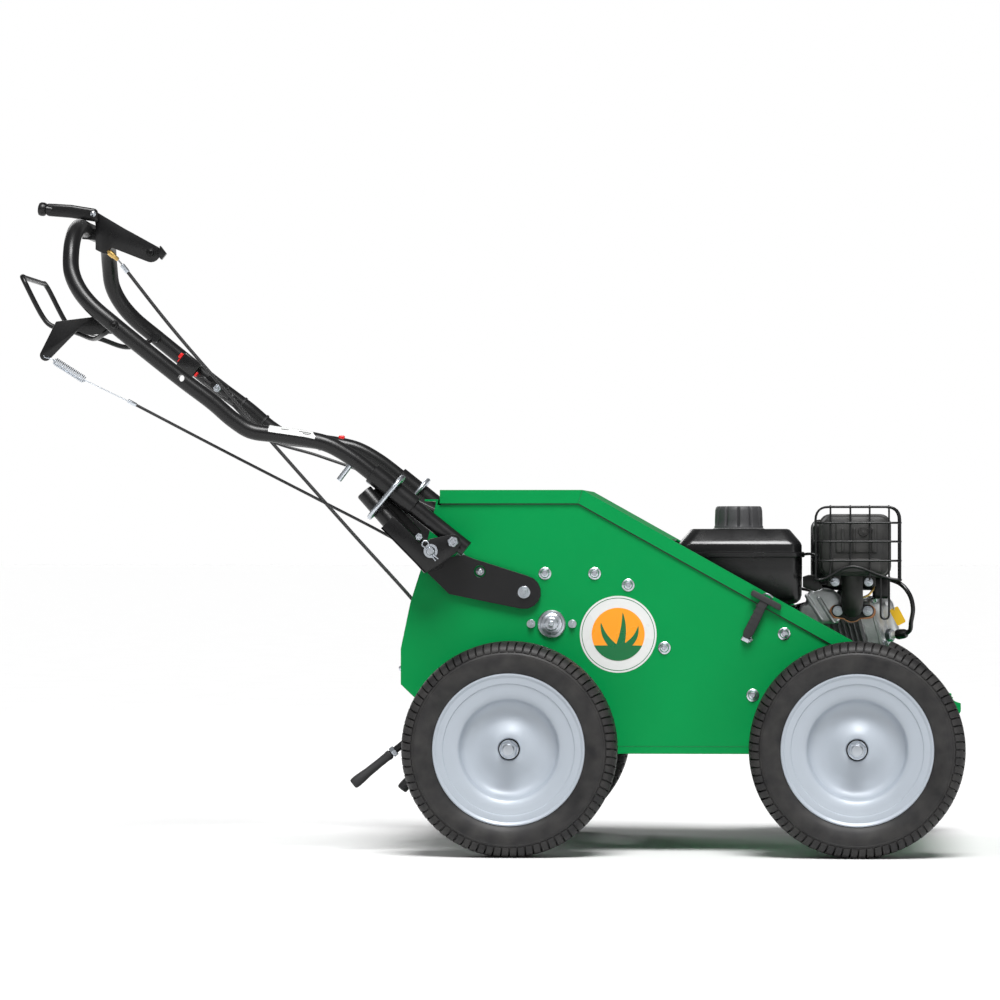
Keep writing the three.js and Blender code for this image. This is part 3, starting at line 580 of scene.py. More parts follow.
def add_hood_seams():
    """A thin black strip of painted shadow in the gap under the hood's edge flange, the mitre where its slope
    begins, and darker green strips of painted shade along the panels' lower folds.
    """
    flange_gap_shade = bmesh.new()
    mitre = bmesh.new()
    fold_shade = bmesh.new()
    under_flange = [(-67, 541.4), (147, 541.4), (713.5, 226), (712.5, 224.6), (146.6, 539.8), (-67, 539.8)]
    slope_start = [(152.2, 561), (153.4, 561), (147.6, 542), (146.4, 542)]
    fold_top = PANEL_FOLD_Z + 0.9
    fold = [(100, PANEL_FOLD_Z), (520, PANEL_FOLD_Z), (520, fold_top), (100, fold_top)]
    for _, side in SIDES:
        # Painted shadow: a thin black strip just under the flange's edge, where the gap between hood and
        # panel lies in shade.
        side_plate(flange_gap_shade, under_flange, *outward(side, PANEL_Y + 0.1, PANEL_Y + 2.6))
        side_plate(mitre, slope_start, *outward(side, HOOD_FACE_Y - 0.6, HOOD_FACE_Y + 0.15))
        # Painted shade: thin darker green strips along the panels' lower folds.
        side_plate(fold_shade, fold, *outward(side, PANEL_Y - 0.6, PANEL_Y + 0.2))
    # The fold strips, painted shade of the bends.
    add_piece("panel_fold_shade_lines", fold_shade, "green_vinyl", "chassis")
    # The black strip under the hood's flange, painted shadow of the gap.
    add_piece("hood_edge_gap_shade", flange_gap_shade, "latch_rubber", "hood")
    add_piece("hood_mitres", mitre, "green_vinyl", "hood")


def add_housing_bolts():
    """Bolts on the side panels and end panels."""
    bolts = bmesh.new()
    for _, side in SIDES:
        for x, z in PANEL_BOLTS:
            button_bolt(bolts, (x, side * PANEL_Y, z), (0, side, 0), 9.8)
        for x in (-32, 32):
            bolt_head(bolts, (CRANK[0] + x, side * PANEL_Y, CRANK[1]), (0, side, 0), 8.5, 5, washer=6.6)
        bolt_head(bolts, (63, side * 244, 404), (0, side, 0), 13, 6, washer=9.6)
        button_bolt(bolts, (-5.6, side * PANEL_Y, 436.4), (0, side, 0), 6.8)
        button_bolt(bolts, (-36, side * PANEL_Y, 458), (0, side, 0), 8)
    add_piece("housing_bolts", bolts, "zinc", "chassis", sharp=30)
    end_bolts = bmesh.new()
    for _, side in SIDES:
        for y in (60, 205):
            button_bolt(end_bolts, (-129, side * y, 285), (-1, 0, 0), 6)
            button_bolt(end_bolts, (725, side * y, 204), Vector((0.88, 0, -0.47)), 6)
    add_piece("end_panel_bolts", end_bolts, "zinc", "chassis", sharp=30)


def blade(bm, root, tip, bend, width, y0, y1):
    """Adds one curved leaf of grass, drawn in side view."""
    root, tip = Vector(root), Vector(tip)
    across = Vector((-(tip - root).y, (tip - root).x)).normalized()
    left, right = [], []
    for k in range(13):
        t = k / 12
        middle = root.lerp(tip, t) + across * (bend * math.sin(math.pi * t * 0.8))
        half = width * (1 - t) ** 0.7 * 0.5 + 0.05
        left.append(tuple(middle + across * half))
        right.append(tuple(middle - across * half))
    side_plate(bm, left + right[::-1], y0, y1)


def add_decals():
    """A plain round badge on each panel: white edge, thin ring, orange field and three blades of grass."""
    layers = {"white_vinyl": bmesh.new(), "green_vinyl": bmesh.new(), "orange_vinyl": bmesh.new()}
    for _, side in SIDES:
        centre = at_y(DECAL, side * PANEL_Y)
        axis = (0, side, 0)
        lathe(layers["white_vinyl"], [(0, 0), (DECAL_RADIUS, 0), (DECAL_RADIUS, 0.35), (0, 0.4)],
              centre, axis, 96)
        ring = [(55.6, 0.3), (56.6, 0.3), (56.6, 0.5), (55.6, 0.5)]
        lathe(layers["green_vinyl"], ring, centre, axis, 96)
        lathe(layers["orange_vinyl"], rod(41, 0.3, 0.6), centre, axis, 80)
        x, z = DECAL
        field = [(x + dx, z + dz) for dx, dz in arc((0, 0), 41, 205, 335, 20)]
        side_plate(layers["green_vinyl"], field, *outward(side, PANEL_Y + 0.5, PANEL_Y + 0.75))
        leaves = ((-4, (-23, 20), 7, 13, 0.85), (2, (4, 34), -5, 14, 0.95), (8, (27, 15), -8, 13, 1.05))
        for root, tip, bend, width, proud in leaves:
            heights = outward(side, PANEL_Y + 0.5, PANEL_Y + proud)
            blade(layers["green_vinyl"], (x + root, z - 22), (x + tip[0], z + tip[1]), bend, width, *heights)
    for name, layer in layers.items():
        add_piece("badge_" + name.split("_")[0], layer, name, "chassis")


def add_latches():
    """T-shaped rubber pulls, each stretched from a clip on the panel over the hood's edge."""
    face = HOOD_FACE_Y + 0.3
    for name, side in SIDES:
        body = f"hood_latch_{name}"
        pull = bmesh.new()
        low, high = outward(side, face + 2, face + 10)
        bar = side_plate(pull, [(415.5, 406.5), (418, 408), (460, 385.5), (461, 382), (459, 376),
                                (455.5, 377), (414, 399.5), (413.2, 402)], low, high)
        rounded(pull, bar, 1.8)
        low, high = outward(side, face, face + 8)
        stem = side_plate(pull, [(431, 396.5), (444, 389.5), (437, 380), (425.5, 355), (416.5, 337),
                                 (410, 331.5), (401, 336), (402, 344), (411, 361), (424, 386)], low, high)
        rounded(pull, stem, 1.6)
        for k in range(5):
            x, z = 411 + 4.2 * k, 347 + 8.6 * k
            kept = set(pull.verts)
            block(pull, (-6.2 - 0.35 * k, 6.2 + 0.35 * k), (-0.8, 0.8), (-1.1, 1.1))
            moved(pull, kept, placed((x, side * (face + 8), z), 26))
        add_piece(f"latch_pull_{name}", pull, "latch_rubber", body, [body])
        clip = bmesh.new()
        low, high = outward(side, PANEL_Y + 0.5, PANEL_Y + 4)
        plate = side_plate(clip, [(397.5, 331), (409.5, 325), (420, 343), (408, 349)], low, high)
        rounded(clip, plate, 1.2)
        button_bolt(clip, (412.5, side * (PANEL_Y + 2.8), 330.5), (0, side, 0), 3.6)
        add_piece(f"latch_clip_{name}", clip, "zinc", "chassis")
        hook = bmesh.new()
        line = [(430, side * (PANEL_Y + 4), 399), (437, side * (PANEL_Y + 9), 402),
                (447, side * (PANEL_Y + 9), 396.5), (441, side * (PANEL_Y + 4), 393)]
        sweep(hook, catmull(line), 1.6, 10)
        add_piece(f"latch_hook_{name}", hook, "zinc", "hood")


# ---- Wheels ----
LUGS = 80
WHEEL_SEGMENTS = 120
SHOULDER_LUG = [(149, 38), (165, 21), (164.8, 29), (162.4, 37), (157, 43), (152.5, 45.6), (149.5, 46)]
CROWN_LUG = [(158, 2), (165, 2), (165, 19), (158, 19)]


def lug(bm, section, centre, side, start, sweep_angle, skew):
    """Adds one tread block: a section in (radius, y) turned through a small angle."""
    x, middle, z = centre
    ends = []
    for turn in (start, start + sweep_angle):
        corners = [(radius, y, math.radians(turn + skew * y)) for radius, y in section]
        ends.append([(x + r * math.cos(a), middle + side * y, z + r * math.sin(a)) for r, y, a in corners])
    loft(bm, ends)


def add_tyre(name, x, side):
    """A flat-free turf tyre: its carcass, two rows of tread blocks a side and two raised rings."""
    centre = (x, side * WHEEL_Y, WHEEL_RADIUS)
    bm = bmesh.new()
    half = [(114.8, 37.5), (117.3, 39.5), (120, 41.8), (126, 44.4), (134, 46.6), (141, 47.4), (147, 46.8),
            (149, 45), (151.5, 42), (155.5, 38), (159, 33), (160.6, 27), (161, 22)]
    profile = half + [(161, 1.2), (159.5, 0.8)]
    lathe(bm, profile + [(r, -y) for r, y in profile[::-1]] + [(114.8, 0)], centre, (0, side, 0),
          WHEEL_SEGMENTS)
    pitch = 360 / LUGS
    for i in range(LUGS):
        for hand in (-1, 1):
            turn = pitch * (i + 0.25 * hand)
            lug(bm, SHOULDER_LUG, centre, hand, turn, pitch * 0.8, 0.05)
            lug(bm, CROWN_LUG, centre, hand, turn + pitch * 0.45, pitch * 0.72, -0.12)
    for r, y in ((145.5, 46.8), (124.5, 43.2)):
        ring = [(r + 0.8, y - 0.3), (r + 0.4, y + 0.55), (r - 0.4, y + 0.55), (r - 0.8, y - 0.3)]
        lathe(bm, ring, centre, (0, side, 0), WHEEL_SEGMENTS)
    stand_in(f"tyre_{name}", bm, "tyre_rubber", bevel=0.5, segments=1, sharp=40)


def add_rim(name, x, side, body):
    """A pressed rim with a deep dish, and its hub bush."""
    centre = (x, side * WHEEL_Y, WHEEL_RADIUS)
    bm = bmesh.new()
    dish = [(116.8, 33), (116.8, 39), (116, 40.6), (114.3, 41), (112.6, 40.2), (110.6, 38.6), (102.6, 37.7),
            (101.2, 37.2), (100.2, 35.8), (99, 35.4), (92, 34.2), (85, 32.4), (79.6, 30.4), (77.4, 28.8),
            (76, 26.2), (75, 22.5), (74, 19.4), (72, 16.8), (69, 14.2), (65, 12), (60, 10.6), (54.5, 10.2),
            (48, 11.2), (42, 13.2), (36, 15.8), (30.5, 18.4), (26, 20.4), (21.5, 21.9), (18.2, 22),
            (16.9, 21), (16.5, 18.5), (16.5, 12.5), (10.6, 12.5)]
    back = [(10.6, -32), (22, -32), (22, 5), (62, 6), (71, 11), (74, 15), (78, 23), (93, 30), (109.5, 31),
            (109.5, -35), (111.5, -37.5), (116.8, -38)]
    lathe(bm, dish + back, centre, (0, side, 0), WHEEL_SEGMENTS)
    stand_in(f"rim_{name}", bm, "rim_paint", sharp=30)
    bush = bmesh.new()
    lathe(bush, [(10.6, 8), (16.4, 8), (16.4, 19), (15.4, 20), (10.6, 20)], centre, (0, side, 0), 48)
    add_piece(f"hub_bush_{name}", bush, "black_plastic", body, sharp=30)


def add_wheels():
    """The four wheels; the front two ride on one live axle."""
    places = (("rear_right", REAR_AXLE_X, -1, "rear_wheel_right"),
              ("rear_left", REAR_AXLE_X, 1, "rear_wheel_left"),
              ("front_right", FRONT_AXLE_X, -1, "front_wheelset"),
              ("front_left", FRONT_AXLE_X, 1, "front_wheelset"))
    for name, x, side, body in places:
        add_tyre(name, x, side)
        add_rim(name, x, side, body)


def hub_nut(bm, x, side):
    """Adds the axle's end: a washer, a hex nut and the threaded stub."""
    at = (x, side * 341.8, WHEEL_RADIUS)
    axis = (0, side, 0)
    lathe(bm, [(9, 0), (14.6, 0), (14.6, 1.6), (9, 1.6)], at, axis, 40)
    turns = [math.radians(20 + 60 * k) for k in range(6)]
    hexes = ((13.2, 1.6), (14.4, 2.6), (14.4, 13.4), (12.6, 15.6))
    loft(bm, [[(x + r * math.cos(a), at[1] + side * along, WHEEL_RADIUS + r * math.sin(a)) for a in turns]
              for r, along in hexes])
    threads = [(8.6 + 0.55 * (k % 2), 15 + k * 0.75) for k in range(12)]
    lathe(bm, [(0, 14), (9, 14)] + threads + [(7.8, 24.6), (0, 24.9)], at, axis, 32, closed=False)


def sprocket(bm, centre, y, radius, teeth, hub, thick=4.0, reach=9):
    """Adds a toothed wheel with a plain hub."""
    points = []
    for k in range(teeth):
        for share, r in ((-0.30, -3.2), (-0.14, 0.8), (-0.05, 3.6), (0.05, 3.6), (0.14, 0.8), (0.30, -3.2)):
            a = 2 * math.pi * (k + share) / teeth
            points.append((centre[0] + (radius + r) * math.cos(a), centre[1] + (radius + r) * math.sin(a)))
    side_plate(bm, points, y - thick / 2, y + thick / 2)
    at = at_y(centre, y)
    lathe(bm, rod(hub, -reach, reach), at, (0, 1, 0), 40)


def add_axles():
    """The live front axle with its sprocket, and the two rear stub axles."""
    bm = bmesh.new()
    lathe(bm, rod(10, -WHEEL_Y, WHEEL_Y), (FRONT_AXLE_X, 0, WHEEL_RADIUS), (0, 1, 0), 40)
    hub_nut(bm, FRONT_AXLE_X, -1)
    hub_nut(bm, FRONT_AXLE_X, 1)
    sprocket(bm, (FRONT_AXLE_X, WHEEL_RADIUS), DRIVE_CHAIN_Y, 45, 23, hub=20)
    stand_in("front_axle", bm, "zinc", sharp=30)
    for name, side in SIDES:
        bm = bmesh.new()
        at = (REAR_AXLE_X, 0, WHEEL_RADIUS)
        lathe(bm, [(0, 222), (32, 222), (32, 231), (10, 231.7), (10, 343), (0, 343)], at, (0, side, 0), 48)
        hub_nut(bm, REAR_AXLE_X, side)
        stand_in(f"rear_axle_{name}", bm, "zinc", sharp=30)


# ---- Tine drive ----
JACK = (235, 300)
IDLER_PIVOT = (384, 216)
IDLER_WHEEL = (330, 214)
BELT_Y = -213
PULLEY_FACES = (-221, -205)
TINE_CHAIN_Y = 208.5
DRIVE_CHAIN_Y = 190.5
CRANK_THROW = 42
ARM_YS = (-175, -58, 58, 175)
ARM_PHASES = (100, 280, 190, 10)
TINE_TIP_LOW = 27
TINE_SPREAD = 29


def crank_pin(phase):
    """The place (x, z) of a crank pin."""
    a = math.radians(phase)
    return CRANK[0] + CRANK_THROW * math.cos(a), CRANK[1] + CRANK_THROW * math.sin(a)


def add_crank_bearings():
    """The crankshaft's bearings, with their caps outside the panels."""
    for name, side in SIDES:
        bm = bmesh.new()
        cap = [(0, 251), (3.2, 251), (3.9, 250.2), (4.2, 248), (5.2, 247.6), (8.8, 247.2), (10.2, 246.2),
               (11, 244.6), (14.4, 244), (16.2, 242.8), (17.2, 240.8), (20.2, 240.2), (21.4, 239),
               (21.5, 235.3), (17.5, 235.3), (17.5, 231.7), (38, 231.7), (38, 222), (16, 222),
               (16, 236), (0, 236)]
        lathe(bm, cap, at_y(CRANK, 0), (0, side, 0), 72, closed=False)
        for k in range(4):
            a = math.radians(45 + 90 * k)
            bolt_head(bm, (CRANK[0] + 29 * math.cos(a), side * 222, CRANK[1] + 29 * math.sin(a)),
                      (0, -side, 0), 9, 5)
        stand_in(f"crank_bearing_{name}", bm, "zinc", sharp=24)


def add_crankshaft():
    """Four throws between round webs, with journals between them and a sprocket at one end."""
    bm = bmesh.new()
    axis = at_y(CRANK, 0)
    journal_start = -227
    for y, phase in zip(ARM_YS, ARM_PHASES):
        pin = crank_pin(phase)
        lathe(bm, rod(15, journal_start, y - 15), axis, (0, 1, 0), 40)
        for web in (y - 23, y + 14):
            disc = [(0, web), (54.5, web), (56, web + 1.5), (56, web + 7.5), (54.5, web + 9), (0, web + 9)]
            lathe(bm, disc, axis, (0, 1, 0), 72)
        lathe(bm, rod(14, y - 15, y + 15), at_y(pin, 0), (0, 1, 0), 40)
        journal_start = y + 15
    lathe(bm, rod(15, journal_start, 221.5), axis, (0, 1, 0), 40)
    sprocket(bm, CRANK, TINE_CHAIN_Y, 75, 38, hub=26, reach=4)
    stand_in("crankshaft", bm, "steel", sharp=30)


def coring_tine(bm, centre, bottom, top):
    """Adds a hollow tine with a window in its wall, where the soil cores come out."""
    sides = 24
    heights = [bottom, bottom + 12, bottom + 28, bottom + 48, bottom + 68, bottom + 74, top]
    walls = []
    for radius, taper in ((11, 1.6), (8.2, 0)):
        rings = []
        for k, z in enumerate(heights):
            points = circle(Vector((*centre, z)), X_AXIS, Y_AXIS, radius - (taper if k == 0 else 0), sides)
            rings.append([bm.verts.new(point) for point in points])
        walls.append(rings)
    window = {(i % sides, k) for i in range(-3, 3) for k in (2, 3)}

    def solid(i, k):
        return 0 <= k < len(heights) - 1 and (i % sides, k) not in window

    def rim(*corners):
        """Joins the outer wall to the inner one along two (level, place) corners."""
        (ka, ia), (kb, ib) = corners
        bm.faces.new((walls[0][ka][ia], walls[0][kb][ib], walls[1][kb][ib], walls[1][ka][ia]))

    for i in range(sides):
        n = (i + 1) % sides
        for k in range(len(heights) - 1):
            if not solid(i, k):
                continue
            for rings in walls:
                bm.faces.new((rings[k][i], rings[k][n], rings[k + 1][n], rings[k + 1][i]))
            for edge, neighbour in ((i, i - 1), (n, i + 1)):
                if not solid(neighbour, k):
                    rim((k, edge), (k + 1, edge))
            for level, beyond in ((k, k - 1), (k + 1, k + 1)):
                if not solid(i, beyond):
                    rim((level, i), (level, n))


def add_tine_arms():
    """Four arms on the crank pins, each with a holder for two hollow tines."""
    for number, (y, phase) in enumerate(zip(ARM_YS, ARM_PHASES), 1):
        x, z = crank_pin(phase)
        bottom = z + TINE_TIP_LOW - (CRANK[1] - CRANK_THROW)
        holder = bottom + 88
        bm = bmesh.new()
        eye = [(14.6, -12), (24, -12), (25, -11), (25, 11), (24, 12), (14.6, 12)]
        lathe(bm, eye, (x, y, z), (0, 1, 0), 56)
        rounded(bm, block(bm, (x - 12, x + 12), (y - 7, y + 7), (holder + 5, z - 19)), 2)
        rounded(bm, block(bm, (x - 17, x + 17), (y - TINE_SPREAD - 12, y + TINE_SPREAD + 12),
                          (holder, holder + 24)), 2)
        for hand in (-TINE_SPREAD, TINE_SPREAD):
            coring_tine(bm, (x, y + hand), bottom, holder + 2)
            bolt_head(bm, (x + 17, y + hand, holder + 12), (1, 0, 0), 13, 6)
        stand_in(f"tine_arm_{number}", bm, "steel", sharp=35)


def pulley(bm, centre, y0, y1, radius, bore_hub):
    """Adds a V-belt pulley: two rims, the groove between them, a web and a hub."""
    middle = (y0 + y1) / 2
    rim = [(radius - 11, y0), (radius, y0), (radius, y0 + 1.6), (radius - 8.5, middle - 2.4),
           (radius - 8.5, middle + 2.4), (radius, y1 - 1.6), (radius, y1), (radius - 11, y1),
           (radius - 12, middle + 2), (bore_hub, middle + 2), (bore_hub, y1), (0, y1), (0, y0),
           (bore_hub, y0), (bore_hub, middle - 2), (radius - 12, middle - 2)]
    lathe(bm, rim, at_y(centre, 0), (0, 1, 0), 72)


def add_drive():
    """The jackshaft with its pulley and sprockets, and the engine's pulley."""
    bm = bmesh.new()
    lathe(bm, rod(10, -SHAFT_END_Y, SHAFT_END_Y), at_y(JACK, 0), (0, 1, 0), 32)
    pulley(bm, JACK, *PULLEY_FACES, 80, 20)
    sprocket(bm, JACK, TINE_CHAIN_Y, 25, 13, hub=15, reach=3.4)
    sprocket(bm, JACK, DRIVE_CHAIN_Y, 15.6, 11, thick=2.4, hub=13, reach=8)
    stand_in("jackshaft", bm, "steel", sharp=30)
    bm = bmesh.new()
    pulley(bm, ENGINE, *PULLEY_FACES, 38, 16)
    lathe(bm, rod(10, -224, -151), at_y(ENGINE, 0), (0, 1, 0), 32)
    bolt_head(bm, at_y(ENGINE, -222), (0, -1, 0), 14, 4)
    stand_in("engine_pulley", bm, "steel", sharp=30)


def add_belt():
    """The V-belt from the engine to the jackshaft."""
    bm = bmesh.new()
    line = evenly(loop_line(JACK, 80, ENGINE, 38, BELT_Y), 7)
    section = ((-5, -6.5), (-5, 6.5), (4, 8), (6, 8), (6, -8), (4, -8))
    rings = []
    for i, point in enumerate(line):
        along = (line[(i + 1) % len(line)] - line[i - 1]).normalized()
        out = Vector((along.z, 0, -along.x))
        rings.append([point + out * lift + Y_AXIS * side for lift, side in section])
    loft(bm, rings, closed=True)
    add_piece("drive_belt_shape", bm, "latch_rubber", "chassis", ["drive_belt"], slot="tyre_rubber")


def add_chain(node, a, ra, b, rb, y):
    """A roller chain: rollers at an even pitch, with inner and outer link plates in turn."""
    bm = bmesh.new()
    line = evenly(loop_line(a, ra, b, rb, y), 12.7)
    if len(line) % 2:
        line = evenly(loop_line(a, ra, b, rb, y), 12.7 * len(line) / (len(line) + 1))
    for i, point in enumerate(line):
        after = line[(i + 1) % len(line)]
        lathe(bm, rod(3.6, -3.3, 3.3), point, (0, 1, 0), 10)
        along = after - point
        middle = (point + after) / 2
        lift = 1.4 + 0.9 * (i % 2)
        heading = math.atan2(along.z, along.x)
        reach = along.length / 2
        outline = stadium(reach + 3.9, 3.9, 4)
        turned = [(middle.x + u * math.cos(heading) - v * math.sin(heading),
                   middle.z + u * math.sin(heading) + v * math.cos(heading)) for u, v in outline]
        for hand in (-1, 1):
            side_plate(bm, turned, *sorted((y + hand * lift, y + hand * (lift + 0.8))))
    stand_in(node, bm, "steel", sharp=35)


def add_idler():
    """The idler's arm, its pivot and its wheel."""
    bm = bmesh.new()
    lathe(bm, [(0, -230), (8, -230), (9, -229), (9, -196), (0, -196)], at_y(IDLER_PIVOT, 0), (0, 1, 0), 32)
    arm = arc(IDLER_PIVOT, 10, -90, 90, 10) + arc(IDLER_WHEEL, 8, 90, 270, 10)
    side_plate(bm, arm, -202, -197)
    lathe(bm, [(0, -221), (14, -221), (15, -220), (15, -206), (14, -205), (0, -205)], at_y(IDLER_WHEEL, 0),
          (0, 1, 0), 40)
    lathe(bm, rod(5, -206, -199), at_y(IDLER_WHEEL, 0), (0, 1, 0), 20)
    stand_in("idler_arm", bm, "zinc", sharp=30)


# ---- Engine ----
STARTER = (349, 172)
FILLER = (392.6, -8)
EXHAUST_X = 571.5
CYLINDER = placed(at_y(ENGINE, 0), -15)


def ring_of(x0, x1, y0, y1, radius, steps=5):
    """The outline of a rectangle with round corners, as (x, y) pairs."""
    corners = ((x1 - radius, y1 - radius, 0), (x0 + radius, y1 - radius, 90), (x0 + radius, y0 + radius, 180),
               (x1 - radius, y0 + radius, 270))
    return [point for cx, cy, turn in corners for point in arc((cx, cy), radius, turn, turn + 90, steps)]


def filleted(points, radius):
    """The same line with its corners rounded."""
    points = [Vector(p) for p in points]
    steps = 6
    line = [points[0]]
    for before, corner, after in zip(points, points[1:], points[2:]):
        reach = min(radius, (corner - before).length * 0.49, (after - corner).length * 0.49)
        start = corner + (before - corner).normalized() * reach
        end = corner + (after - corner).normalized() * reach
        for k in range(steps + 1):
            t = k / steps
            line.append(start * (1 - t) ** 2 + corner * (2 * t * (1 - t)) + end * t ** 2)
    line.append(points[-1])
    return line


def add_crankcase():
    """The crankcase with its ribbed side cover and the finned, tilted cylinder."""
    bm = bmesh.new()
    section = [(312, 192.3), (488, 192.3), (488, 210), (476, 216), (484, 300), (470, 366), (345, 372),
               (320, 340), (322, 216), (312, 210)]
    rounded(bm, side_plate(bm, section, -100, 100), 5)
    at = at_y(ENGINE, 0)
    cover = [(0, -151), (20, -151), (24, -149), (28, -140), (52, -137), (62, -132), (66, -120), (67, -110),
             (72, -108), (72, -99), (0, -99)]
    lathe(bm, cover, at, (0, 1, 0), 64)
    for k in range(8):
        a = math.radians(22.5 + 45 * k)
        kept = set(bm.verts)
        block(bm, (24, 64), (-136, -112), (-1.6, 1.6))
        moved(bm, kept, Matrix.Translation(at) @ Matrix.Rotation(a, 4, "Y"))
    kept = set(bm.verts)
    loft(bm, [[(u, y, w) for y, w in ring_of(-46, 46, -46, 46, 20)] for u in (60, 196)])
    for k in range(14):
        u = 86 + 8 * k
        loft(bm, [[(u + du, y, w) for y, w in ring_of(-58, 58, -56, 56, 9)] for du in (0, 1.9)])
    moved(bm, kept, CYLINDER)
    sweep(bm, [(570, -69, 370), (570, -45, 370)], 17, 24)
    stand_in("crankcase", bm, "cast_dark", sharp=32)
    bolts = bmesh.new()
    for k in range(8):
        a = math.radians(45 * k)
        bolt_head(bolts, (ENGINE[0] + 69 * math.cos(a), -108, ENGINE[1] + 69 * math.sin(a)), (0, -1, 0), 8, 5)
    add_piece("crankcase_bolts", bolts, "zinc", "chassis", sharp=30)


def add_valve_cover():
    """The cover at the cylinder's end, its bolts and the shroud over the cylinder."""
    bm = bmesh.new()
    levels = ((197, 44, 40, 10), (214, 44, 40, 10), (215, 46, 42, 10), (219, 46, 42, 10), (220, 43, 39, 10),
              (229, 42, 38, 12), (232, 40, 36, 14), (233, 37, 33, 14), (244, 35.5, 31.5, 13),
              (248, 33, 29, 12), (250, 29, 25, 10))
    loft(bm, [[(u, y, w) for y, w in ring_of(-hy, hy, -hw, hw, r)] for u, hy, hw, r in levels])
    for w in (-16, -5, 6, 17):
        rounded(bm, block(bm, (248, 251), (-24, 24), (w - 1.5, w + 1.5)), 1)
    moved(bm, (), CYLINDER)
    stand_in("valve_cover", bm, "cast_aluminium", sharp=32)
    bolts = bmesh.new()
    for y in (-39, 39):
        for w in (-35, 35):
            bolt_head(bolts, (220, y, w), (1, 0, 0), 10, 6, washer=6.5)
    moved(bolts, (), CYLINDER)
    add_piece("valve_cover_bolts", bolts, "zinc", "chassis", sharp=30)
    shroud = bmesh.new()
    edge = [(487, 352), (487, 379), (499, 384), (500, 399), (509, 407), (528, 410), (545, 405), (555, 395),
            (558, 376), (551, 352)]
    rounded(shroud, side_plate(shroud, edge, -70, -22), 7, 4)
    for x, z in ((512, 378), (531, 374)):
        kept = set(shroud.verts)
        rounded(shroud, block(shroud, (-3.5, 3.5), (-74, -64), (-25, 25)), 3)
        moved(shroud, kept, placed((x, 0, z), -32))
    add_piece("cylinder_shroud", shroud, "cast_aluminium", "chassis", sharp=40)


def add_spark_plug():
    """The plug, its boot and lead, and a service tag on a tie."""
    plug = bmesh.new()
    at, axis = (628, -60, 334), Vector((0.82, -0.5, 0.1)).normalized()
    bolt_head(plug, at, axis, 18, 9)
    add_piece("spark_plug_hex", plug, "zinc", "chassis", sharp=30)
    insulator = bmesh.new()
    at = Vector(at) + axis * 8
    lathe(insulator, [(0, 0), (6, 0), (5.4, 8), (4.4, 9), (4.4, 14), (0, 14)], at, axis, 24)
    add_piece("spark_plug_insulator", insulator, "porcelain", "chassis", sharp=30)
    boot = bmesh.new()
    lathe(boot, [(0, 9), (7.5, 9), (8.2, 12), (7.4, 22), (6, 26), (4, 27), (0, 27)], at, axis, 28)
    end = at + axis * 24
    line = [end, end + Vector((7, -4, 5)), (664, -84, 356), (667, -85, 376), (662, -83, 398), (648, -76, 415),
            (622, -60, 424), (560, -20, 424), (500, 40, 412)]
    sweep(boot, catmull(line), 3.6, 14)
    add_piece("spark_lead", boot, "black_plastic", "chassis", sharp=30)
    tag = bmesh.new()
    loft(tag, [[(u, y, w) for u, w in ring_of(-7.5, 7.5, -14, 14, 2.5)] for y in (-0.5, 0.5)])
    moved(tag, (), placed((643, -80, 365), -28))
    add_piece("service_tag", tag, "yellow_tag", "chassis")
    tie = bmesh.new()
    sweep(tie, catmull([(637.5, -80, 374.5), (635.5, -82, 384), (631, -80, 391), (625, -73, 397)]), 0.9, 10)
    add_piece("service_tag_tie", tie, "zinc", "chassis", sharp=30)


def add_blower():
    """The fan housing on the left, with its slotted grille and the duct to the cylinder."""
    bm = bmesh.new()
    at = at_y(ENGINE, 0)
    drum = [(0, 100.3), (96, 100.3), (98, 102), (98, 128), (94, 140), (86, 147), (78, 149.5), (64, 150),
            (63, 150), (62, 156), (60, 158), (46, 158), (44.5, 156.5), (44, 151), (16, 151),
            (15, 156), (0, 157)]
    lathe(bm, drum, at, (0, 1, 0), 80, closed=False)
    for k in range(20):
        kept = set(bm.verts)
        block(bm, (14, 46), (150, 156.5), (-1.3, 1.3))
        moved(bm, kept, Matrix.Translation(at) @ Matrix.Rotation(2 * math.pi * k / 20, 4, "Y"))
    rounded(bm, block(bm, (336, 362), (120, 180), (375, 404)), 4)
    kept = set(bm.verts)
    rounded(bm, block(bm, (98, 130), (62, 118), (-52, 58)), 7)
    rounded(bm, block(bm, (40, 112), (101, 118), (-52, 58)), 5)
    moved(bm, kept, CYLINDER)
    add_piece("blower_shape", bm, "black_plastic", "chassis", ["blower_housing"], sharp=32)
    bolts = bmesh.new()
    for k in range(4):
        a = math.radians(35 + 90 * k)
        bolt_head(bolts, (ENGINE[0] + 84 * math.cos(a), 147, ENGINE[1] + 84 * math.sin(a)), (0, 1, 0),
                  9, 5, washer=7)
    add_piece("blower_bolts", bolts, "zinc", "chassis", sharp=30)


def add_starter():
    """The recoil starter's grip and its rope."""
    bm = bmesh.new()
    bar = [(0, -49), (6.5, -49), (9.2, -46.5), (10, -41), (9.4, -30), (8.3, -14), (8.3, 14), (9.4, 30),
           (10, 41), (9.2, 46.5), (6.5, 49), (0, 49)]
    lathe(bm, bar, (*STARTER, 428), (1, 0, 0), 36)
    lathe(bm, [(0, 0), (5, 0), (7, 3), (7, 12), (8, 18), (0, 18)], (*STARTER, 407), (0, 0, 1), 28)
    stand_in("starter_grip", bm, "black_plastic", sharp=35)
    rope = bmesh.new()
    sweep(rope, [(*STARTER, 398 + k * 0.5) for k in range(31)], 2.2, 12)
    piece = add_piece("starter_rope", rope, "latch_rubber", None)
    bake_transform(piece)


